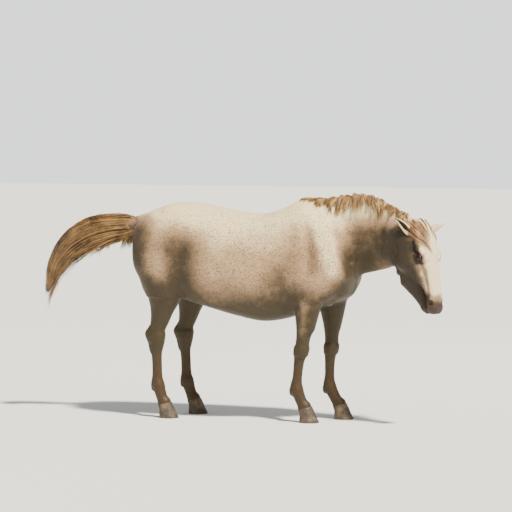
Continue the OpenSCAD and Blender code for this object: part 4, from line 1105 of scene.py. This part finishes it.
# ---------------------------------------------------------------------------
# Hooves: moulded rubber with the growth rings and fine upright grain of horn,
# a hollowed sole and a rough coronet where the hair begins.
# ---------------------------------------------------------------------------
horn, wires, shader, where = new_material("hoof_horn")
grain = wires.noise(wires.stretched(where, (240, 240, 14)), 1.0, 4, 0.65)
growth = wires.noise(wires.stretched(where, (7, 7, 190)), 1.0, 2, 0.5)
dust = wires.noise(where, 18, 5, 0.6)
tone = wires.mix(wires.ramp(grain, 0.3, 0.72), linear(44, 36, 30), linear(96, 80, 64))
tone = wires.mix(wires.math("MULTIPLY", wires.ramp(dust, 0.45, 0.75), 0.55), tone, linear(150, 128, 98))
wires.join(tone, shader.inputs["Base Color"])
wires.join(wires.math("MULTIPLY_ADD", dust, 0.4, 0.36), shader.inputs["Roughness"])
height = wires.math("MULTIPLY_ADD", growth, 0.8, wires.math("MULTIPLY", grain, 0.3))
wires.relief(shader, height, 0.6, 0.003)
SOLE_HOLLOW = 0.006
for side, word in ((-1, "right"), (1, "left")):
    for end, hoof_x, lane in (
        ("fore", FORE_HOOF[side], FORE_Y * side), ("hind", HIND_HOOF[side], HIND_Y * side)
    ):
        rings = []
        for z, off, long, wide in (
            (SOLE_HOLLOW, 14, 46, 40), (SOLE_HOLLOW * 0.8, 15, 58, 51), (0.0, 16, 65, 57), (0.0, 16, 69, 61),
            (0.004, 15.5, 70, 62), (0.020, 11.5, 65.5, 59), (0.035, 7.5, 61, 55.5), (0.050, 4, 56.5, 52.5),
            (0.065, 0, 53, 50.5), (0.080, -4.5, 49.5, 48.5), (0.090, -7.5, 48, 47), (0.096, -9.5, 47.5, 46.5),
            (0.099, -10, 43, 42), (0.100, -10, 26, 26),
        ):
            ring = []
            for a in np.linspace(0, 2 * math.pi, 40, endpoint=False):
                heel = 1 - 0.10 * max(0.0, -math.cos(a)) ** 2
                ring.append((hoof_x + (
                    off + long * math.cos(a) * heel
                ) / 1000, lane + wide * math.sin(a) / 1000,
                             z + (
                                 0.010 * math.cos(a) if z > 0.06 else 0.006 * math.cos(a) * z / 0.06
                             ) * min(1, z / 0.05)))
            rings.append(ring)
        hoof = ring_piece(end + "_hoof_wall_" + word, rings, [horn])
        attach(hoof, end + "_foot_" + word)
        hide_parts(end + "_hoof_" + word)


# ---------------------------------------------------------------------------
# Mane, forelock and tail: long straw-blond hair set in locks. Each lock is a
# path laid over the hide, and the hair tree grows its strands round that path.
# ---------------------------------------------------------------------------
hair_tree = bpy.data.node_groups.new("hair_locks", "GeometryNodeTree")
for socket, kind, value in (
    (
        "Geometry", "NodeSocketGeometry", None
    ), ("Strands in Lock", "NodeSocketInt", 20), ("Lock Spread", "NodeSocketFloat", 0.01),
    (
        "Strand Radius", "NodeSocketFloat", 0.001
    ), ("Waviness", "NodeSocketFloat", 0.006), ("Points", "NodeSocketInt", 9),
    ("Seed", "NodeSocketInt", 3), ("Material", "NodeSocketMaterial", None),
):
    made = hair_tree.interface.new_socket(name=socket, in_out="INPUT", socket_type=kind)
    if value is not None:
        made.default_value = value
hair_tree.interface.new_socket(name="Geometry", in_out="OUTPUT", socket_type="NodeSocketGeometry")
wire = Wiring(hair_tree)
given = wire.node("NodeGroupInput").outputs
paths = wire.node("GeometryNodeMeshToCurve", {"Mesh": given["Geometry"]}).outputs[0]
many = wire.node(
    "GeometryNodeDuplicateElements", {"Geometry": paths, "Amount": given["Strands in Lock"]}, domain="SPLINE"
)
chance = wire.node(
    "FunctionNodeRandomValue", {"Min": (-1, -1, -1), "Max": (1, 1, 1), "Seed": given["Seed"]},
    data_type="FLOAT_VECTOR"
)
stored = wire.node("GeometryNodeStoreNamedAttribute", {"Geometry": many.outputs["Geometry"], "Name": "stray"},
                   data_type="FLOAT_VECTOR", domain="CURVE")
wire.join(chance.outputs["Value"], [s for s in stored.inputs if s.name == "Value"][0])
ends = wire.node("FunctionNodeRandomValue", {"Seed": wire.math("ADD", given["Seed"], 7.0)}, data_type="FLOAT")
for socket in ends.inputs:
    if socket.name == "Min" and socket.type == "VALUE":
        socket.default_value = 0.72
trimmed = wire.node("GeometryNodeTrimCurve", {"Curve": stored.outputs["Geometry"]}, mode="FACTOR")
last = [s for s in ends.outputs if s.type == "VALUE"][0]
wire.join(last, [s for s in trimmed.inputs if s.name == "End"][0])
even = wire.node("GeometryNodeResampleCurve", {"Curve": trimmed.outputs["Curve"], "Count": given["Points"]})
stray = wire.node("GeometryNodeInputNamedAttribute", {"Name": "stray"}, data_type="FLOAT_VECTOR")
stray_out = [s for s in stray.outputs if s.name == "Attribute" and s.enabled][0]
along = wire.node("GeometryNodeSplineParameter").outputs["Factor"]
widen = wire.math("MULTIPLY", given["Lock Spread"], wire.math("MULTIPLY_ADD", along, 0.45, 0.55))
side_step = wire.node("ShaderNodeVectorMath", {0: stray_out}, operation="SCALE")
wire.join(widen, side_step.inputs["Scale"])
here = wire.node("GeometryNodeInputPosition").outputs[0]
moved = wire.node("ShaderNodeVectorMath", {0: here, 1: side_step.outputs[0]}, operation="ADD").outputs[0]
ripple = wire.node("ShaderNodeTexNoise", {"Vector": moved, "Scale": 22, "Detail": 1})
ripple = wire.node(
    "ShaderNodeVectorMath", {0: ripple.outputs["Color"], 1: (0.5, 0.5, 0.5)}, operation="SUBTRACT"
)
ripple_by = wire.node("ShaderNodeVectorMath", {0: ripple.outputs[0]}, operation="SCALE")
wire.join(
    wire.math("MULTIPLY", given["Waviness"], wire.math("MULTIPLY", along, 2.0)), ripple_by.inputs["Scale"]
)
step = wire.node("ShaderNodeVectorMath", {0: side_step.outputs[0], 1: ripple_by.outputs[0]}, operation="ADD")
strewn = wire.node("GeometryNodeSetPosition", {"Geometry": even.outputs["Curve"], "Offset": step.outputs[0]})
thin = wire.math(
    "MULTIPLY", given["Strand Radius"],
    wire.math("SUBTRACT", 1.0, wire.math("MULTIPLY", wire.math("POWER", along, 3.0), 0.8))
)
sized = wire.node("GeometryNodeSetCurveRadius", {"Curve": strewn.outputs["Geometry"], "Radius": thin})
outline = wire.node("GeometryNodeCurvePrimitiveCircle", {"Resolution": 3, "Radius": 1.0})
solid = wire.node(
    "GeometryNodeCurveToMesh",
    {"Curve": sized.outputs["Curve"], "Profile Curve": outline.outputs["Curve"], "Fill Caps": True}
)
if "Scale" in solid.inputs:
    wire.join(thin, solid.inputs["Scale"])
real = wire.node("GeometryNodeRealizeInstances", {"Geometry": solid.outputs["Mesh"]})
dressed = wire.node(
    "GeometryNodeSetMaterial", {"Geometry": real.outputs["Geometry"], "Material": given["Material"]}
)
wire.join(dressed.outputs["Geometry"], wire.node("NodeGroupOutput").inputs["Geometry"])


def hair_material(name, light, middle, dark, lengthways):
    made, wires, shader, where = new_material(name)
    strand = wires.node(
        "ShaderNodeSeparateXYZ",
        {0: wires.node("ShaderNodeAttribute", attribute_name="stray").outputs["Vector"]}
    )
    fleck = wires.noise(where, 160, 2, 0.6)
    lock = wires.noise(wires.stretched(where, lengthways), 1.0, 4, 0.65)
    lock = wires.math("MULTIPLY_ADD", strand.outputs[0], 0.16, lock)
    tone = wires.mix(wires.ramp(lock, 0.28, 0.50), dark, middle)
    tone = wires.mix(wires.ramp(lock, 0.46, 0.70), tone, light)
    tone = wires.mix(wires.math("MULTIPLY", fleck, 0.25), tone, dark)
    wires.join(tone, shader.inputs["Base Color"])
    wires.join(wires.math("MULTIPLY_ADD", lock, 0.3, 0.32), shader.inputs["Roughness"])
    wires.relief(shader, fleck, 0.35, 0.002)
    shader.inputs["Sheen Weight"].default_value = 0.15
    return made


mane_hair = hair_material(
    "mane_hair", linear(222, 182, 112), linear(172, 126, 62), linear(84, 56, 26), (20, 14, 9)
)
tail_hair = hair_material(
    "tail_hair", linear(196, 154, 94), linear(126, 90, 48), linear(50, 36, 22), (6, 14, 8)
)
forelock_hair = hair_material(
    "forelock_hair", linear(232, 196, 146), linear(188, 136, 88), linear(112, 74, 46), (24, 24, 6)
)


def lock_piece(name, paths, material, strands, spread, radius, waviness, count, seed):
    """Grows one plain mesh of hair along the given paths."""
    corners, edges = [], []
    for path in paths:
        first = len(corners)
        corners += [tuple(p) for p in path]
        edges += [(first + i, first + i + 1) for i in range(len(path) - 1)]
    mesh = bpy.data.meshes.new(name + "_paths")
    mesh.from_pydata(corners, edges, [])
    guide = new_object(name + "_paths", mesh)
    growth = guide.modifiers.new("hair", "NODES")
    growth.node_group = hair_tree
    wanted = {"Strands in Lock": strands, "Lock Spread": spread, "Strand Radius": radius, "Waviness": waviness,
              "Points": count, "Seed": seed, "Material": material}
    for item in hair_tree.interface.items_tree:
        if item.item_type == "SOCKET" and item.in_out == "INPUT" and item.name in wanted:
            growth[item.identifier] = wanted[item.name]
    grown = bpy.data.meshes.new_from_object(guide.evaluated_get(bpy.context.evaluated_depsgraph_get()))
    bpy.data.objects.remove(guide)
    grown.name = name
    grown.polygons.foreach_set("use_smooth", [True] * len(grown.polygons))
    if not grown.materials:
        grown.materials.append(material)
    piece = new_object(name, grown)
    return piece


def depth_at(where):
    """How far each point lies outside the hide, read out of the clay."""
    where = np.atleast_2d(where)
    low, share = [], []
    for c in range(3):
        axis = clay.axes[c]
        i = np.clip(np.searchsorted(axis, where[:, c]) - 1, 0, len(axis) - 2)
        low.append(i)
        share.append(np.clip((where[:, c] - axis[i]) / (axis[i + 1] - axis[i]), 0, 1))
    total = 0
    for i in (0, 1):
        for j in (0, 1):
            for k in (0, 1):
                weight = 1
                for c, corner in enumerate((i, j, k)):
                    weight = weight * (share[c] if corner else 1 - share[c])
                total = total + weight * clay.depth[low[0] + i, low[1] + j, low[2] + k]
    return total


def outward(where):
    reach = 0.006
    way = np.array([(depth_at(where + reach * e) - depth_at(where - reach * e))[0] for e in np.eye(3)])
    size = np.linalg.norm(way)
    return way / size if size > 1e-6 else np.array([0, 0, 1.0])


def laid(where, lift):
    """Moves a point to the given height over the hide."""
    for _ in range(3):
        miss = np.clip(depth_at(where)[0] - lift, -0.03, 0.03)
        where = where - miss * outward(where)
    return where


def hanging_lock(root, comb, length, lift, stride=0.013):
    """A lock that leaves the hide at its root and lies down over it, combed and drawn by its weight."""
    path = [laid(np.array(root, float), -0.002)]
    here = path[0]
    for i in range(int(length / stride)):
        way = np.array(comb, float) + np.array([0, 0, -0.35 - 0.12 * i])
        n = outward(here)
        way -= (way @ n) * n
        here = here + stride * way / (np.linalg.norm(way) + 1e-9)
        rise = lift * min(1, (i + 1) / 3)
        here = laid(here, rise) if depth_at(here)[0] < 0.05 else here
        path.append(here)
    return path


MANE_LOCKS, FORELOCK_LOCKS, TAIL_LOCKS, TAIL_WISPS = 196, 58, 128, 30
chance_of = np.random.default_rng(11)
crest = eased([[r[0], r[1] + r[3], r[2]] for r in neck_rows[:-1]])
mane_zones = {"mane_base": [], "mane_middle": [], "mane_poll": []}
for x in np.linspace(0.430, 1.185, MANE_LOCKS):
    top = float(np.interp(x, crest[:, 0], crest[:, 1])) if x > 0.559 else 1.488
    middle_y = float(np.interp(x, crest[:, 0], crest[:, 2]))
    bulk = float(np.interp(x, [0.44, 0.56, 0.70, 0.86, 1.0, 1.13], [0.004, 0.009, 0.024, 0.026, 0.015, 0.010]))
    length = float(
        np.interp(x, [0.44, 0.56, 0.66, 0.80, 1.0, 1.13], [0.07, 0.14, 0.17, 0.14, 0.13, 0.12])
    ) * chance_of.uniform(0.6, 1.25)
    if chance_of.random() < 0.05 and x > 0.7:
        length += 0.09
    side = 1 if chance_of.random() < 0.22 else -1
    root = (x + chance_of.normal(0, 0.003), middle_y + chance_of.uniform(-0.020, 0.026), top)
    comb = (chance_of.normal(-0.30 if x < 0.72 else 0.05, 0.26), side * 0.75, 0.10)
    path = hanging_lock(root, comb, length, bulk * chance_of.uniform(0.35, 1.1))
    start = np.array(root)
    if (start - BASE_START - BASE_LENGTH * BASE_WAY) @ BASE_WAY < 0 or x < 0.70:
        mane_zones["mane_base"].append(path)
    elif (start - poll_start) @ POLL_WAY < 0:
        mane_zones["mane_middle"].append(path)
    else:
        mane_zones["mane_poll"].append(path)
for name, first, second, start, end in (
    ("mane_base", "trunk", "neck_lower", BASE_START, BASE_START + BASE_LENGTH * BASE_WAY),
    ("mane_middle", "neck_lower", "neck_upper", MID_START, MID_START + MID_LENGTH * MID_WAY),
    ("mane_poll", "neck_upper", "head", poll_start, POLL_END),
):
    if not mane_zones[name]:
        continue
    mane = lock_piece(name, mane_zones[name], mane_hair, 24, 0.0085, 0.00115, 0.010, 9, 5)
    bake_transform(mane)
    if name == "mane_middle":
        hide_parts("mane")

# Forelock: combed down over the near side of the forehead
FORELOCK_SIDE = -0.028
FORELOCK_STRIDE = 0.014
paths = []
for i in range(FORELOCK_LOCKS):
    across = chance_of.normal(FORELOCK_SIDE, 0.020)
    back = chance_of.uniform(-0.225, -0.075)
    path = [laid(on_head(-0.005, back, across - 0.006), -0.003)]
    here = path[0]
    length = chance_of.uniform(0.10, 0.17) + (-0.05 - back) * 0.9
    for k in range(int(length / FORELOCK_STRIDE)):
        pull = 0.75 * head_d + 0.9 * head_n - head_l * (0.02 + 2.0 * (across - FORELOCK_SIDE) * min(1, k / 6))
        n = outward(here)
        way = pull - (pull @ n) * n
        here = laid(here + FORELOCK_STRIDE * way / np.linalg.norm(way), 0.001 + 0.005 * chance_of.random())
        path.append(here)
    paths.append(path)
forelock = lock_piece("forelock_hair_locks", paths, forelock_hair, 18, 0.0065, 0.0010, 0.006, 12, 9)
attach(forelock, "head")
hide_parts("forelock")

# Tail: a dense core on the dock, and locks that stream back from it and drop at the end
tail_rows = []
for x, z, tall, wide in (
    (-806, 1301, 36, 26), (-845, 1296, 50, 32), (-880, 1292, 66, 38), (-915, 1288, 78, 44),
    (-990, 1284, 88, 50), (-1080, 1276, 96, 58), (-1180, 1250, 102, 60), (-1290, 1196, 94, 55),
    (-1390, 1112, 76, 46), (-1462, 1000, 50, 32), (-1502, 880, 26, 18), (-1518, 800, 7, 7),
):
    tail_rows.append([len(tail_rows), x / 1000 + SHIFT, z / 1000, tall / 1000, wide / 1000])
tail_rows = eased(tail_rows, 8)
tail_way = np.gradient(tail_rows[:, 1:3], axis=0)
tail_way /= np.linalg.norm(tail_way, axis=1)[:, None]


def in_tail(t, a, b):
    """Point at a share of the way down the tail, a across it and b over it, both in shares of its half size."""
    row = t * (len(tail_rows) - 1)
    x, z, tall, wide = (np.interp(row, range(len(tail_rows)), tail_rows[:, i]) for i in (1, 2, 3, 4))
    wx, wz = (np.interp(row, range(len(tail_rows)), tail_way[:, i]) for i in (0, 1))
    return np.array([x + b * tall * wz, a * wide, z - b * tall * wx])


rings = []
for t in np.linspace(0, 0.97, 40):
    ring = []
    for a in np.linspace(0, 2 * math.pi, 28, endpoint=False):
        fold = 0.80 + 0.05 * math.sin(7 * a + 3 * t) + 0.04 * math.sin(13 * a + 9 * t)
        under = 0.72 if math.sin(a) < 0 else 1.0
        ring.append(in_tail(t, fold * math.cos(a), fold * under * math.sin(a)))
    rings.append(ring)
core = ring_piece("tail_core", rings, [tail_hair])
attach(core, "tail")
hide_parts("tail_hair")
paths = []
for i in range(TAIL_LOCKS):
    a = chance_of.uniform(0, 2 * math.pi)
    r = 0.80 + 0.18 * chance_of.random()
    begin = chance_of.uniform(0, 0.25) if i % 3 else chance_of.uniform(0.2, 0.55)
    finish = min(1.0, begin + chance_of.uniform(0.45, 0.95))
    drop = chance_of.uniform(0.0, 0.10) if math.sin(a) < -0.2 else 0.0
    path = []
    for k, t in enumerate(np.linspace(begin, finish, 16)):
        path.append(in_tail(
            t, r * math.cos(a + 0.25 * t), r * math.sin(a + 0.25 * t)
        ) + np.array([0.0, 0, -drop * (k / 15) ** 2]))
    paths.append(path)
for i in range(TAIL_WISPS):
    t = chance_of.uniform(0.06, 0.50)
    start = in_tail(t, chance_of.uniform(-0.6, 0.6), -0.70)
    fall = chance_of.uniform(0.05, 0.13)
    paths.append([start + np.array([-0.55 * fall * s, 0, -fall * s ** 1.3]) for s in np.linspace(0, 1, 9)])
tail = lock_piece("tail_locks", paths, tail_hair, 13, 0.0095, 0.0012, 0.012, 13, 21)
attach(tail, "tail")


# ---------------------------------------------------------------------------
# The machine inside: painted steel beams and limb tubes, bright pins, cast
# actuators and two moulded cases. The parts themselves come from the frame.
# ---------------------------------------------------------------------------
wear_group, wire, given, result = new_group(
    "shop_wear",
    [("Vector", "NodeSocketVector", None), ("Scale", "NodeSocketFloat", 12.0)],
    [("Wear", "NodeSocketFloat"), ("Grain", "NodeSocketFloat")],
)
cloud = wire.node(
    "ShaderNodeTexNoise", {"Vector": given["Vector"], "Scale": given["Scale"], "Detail": 6.0}
).outputs["Fac"]
scratch = wire.node(
    "ShaderNodeTexNoise",
    {"Vector": wire.stretched(given["Vector"], (30, 400, 400)), "Scale": 1.0, "Detail": 3.0}
)
wire.join(wire.ramp(cloud, 0.48, 0.68), result["Wear"])
wire.join(scratch.outputs["Fac"], result["Grain"])


def shop_material(name, clean, worn, metallic, rough, scale):
    made, wires, shader, where = new_material(name)
    wear = wires.node("ShaderNodeGroup", {}, node_tree=wear_group)
    wires.join(where, wear.inputs["Vector"])
    wear.inputs["Scale"].default_value = scale
    wires.join(wires.mix(wear.outputs["Wear"], clean, worn), shader.inputs["Base Color"])
    wires.join(wires.math("MULTIPLY_ADD", wear.outputs["Grain"], 0.25, rough), shader.inputs["Roughness"])
    wires.relief(shader, wear.outputs["Grain"], 0.25, 0.001)
    shader.inputs["Metallic"].default_value = metallic
    return made


frame_steel = shop_material("frame_steel", linear(66, 72, 78), linear(92, 96, 98), 0.2, 0.40, 14)
bright_steel = shop_material("bright_steel", linear(186, 188, 190), linear(150, 150, 150), 1.0, 0.22, 30)
cast_aluminium = shop_material("cast_aluminium", linear(170, 172, 176), linear(132, 134, 138), 1.0, 0.38, 22)
battery_plastic = shop_material("battery_plastic", linear(38, 40, 44), linear(58, 60, 62), 0.0, 0.48, 18)
box_plastic = shop_material("box_plastic", linear(152, 158, 160), linear(128, 132, 132), 0.0, 0.45, 18)
dock_hide = shop_material("dock_hide", linear(150, 116, 96), linear(118, 90, 74), 0.0, 0.60, 26)
for node, finish in (
    ("battery", battery_plastic), ("control_box", box_plastic), (
        "leg_actuators", cast_aluminium
    ), ("tail_dock", dock_hide),
    ("frame_pins", bright_steel), ("hatch_screws", bright_steel), ("neck_turn_pin", bright_steel),
    ("head_pins", bright_steel),
    *((end + "_pins_" + word, bright_steel) for end in ("fore", "hind") for word in ("right", "left")),
    *((bone, frame_steel) for bone in (
        "spine_beam", "fore_frame", "hind_frame", "machine_tray", "neck_lower_bone", "neck_upper_bone",
        "head_bone", "tail_yoke",
    )),
    *((bone + word, frame_steel)
      for bone in ("forearm_bone_", "fore_cannon_bone_", "gaskin_bone_", "hind_cannon_bone_")
      for word in ("right", "left")),
):
    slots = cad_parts[node].material_slots
    if not len(slots):
        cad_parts[node].data.materials.append(finish)
    for place in slots:
        place.material = finish
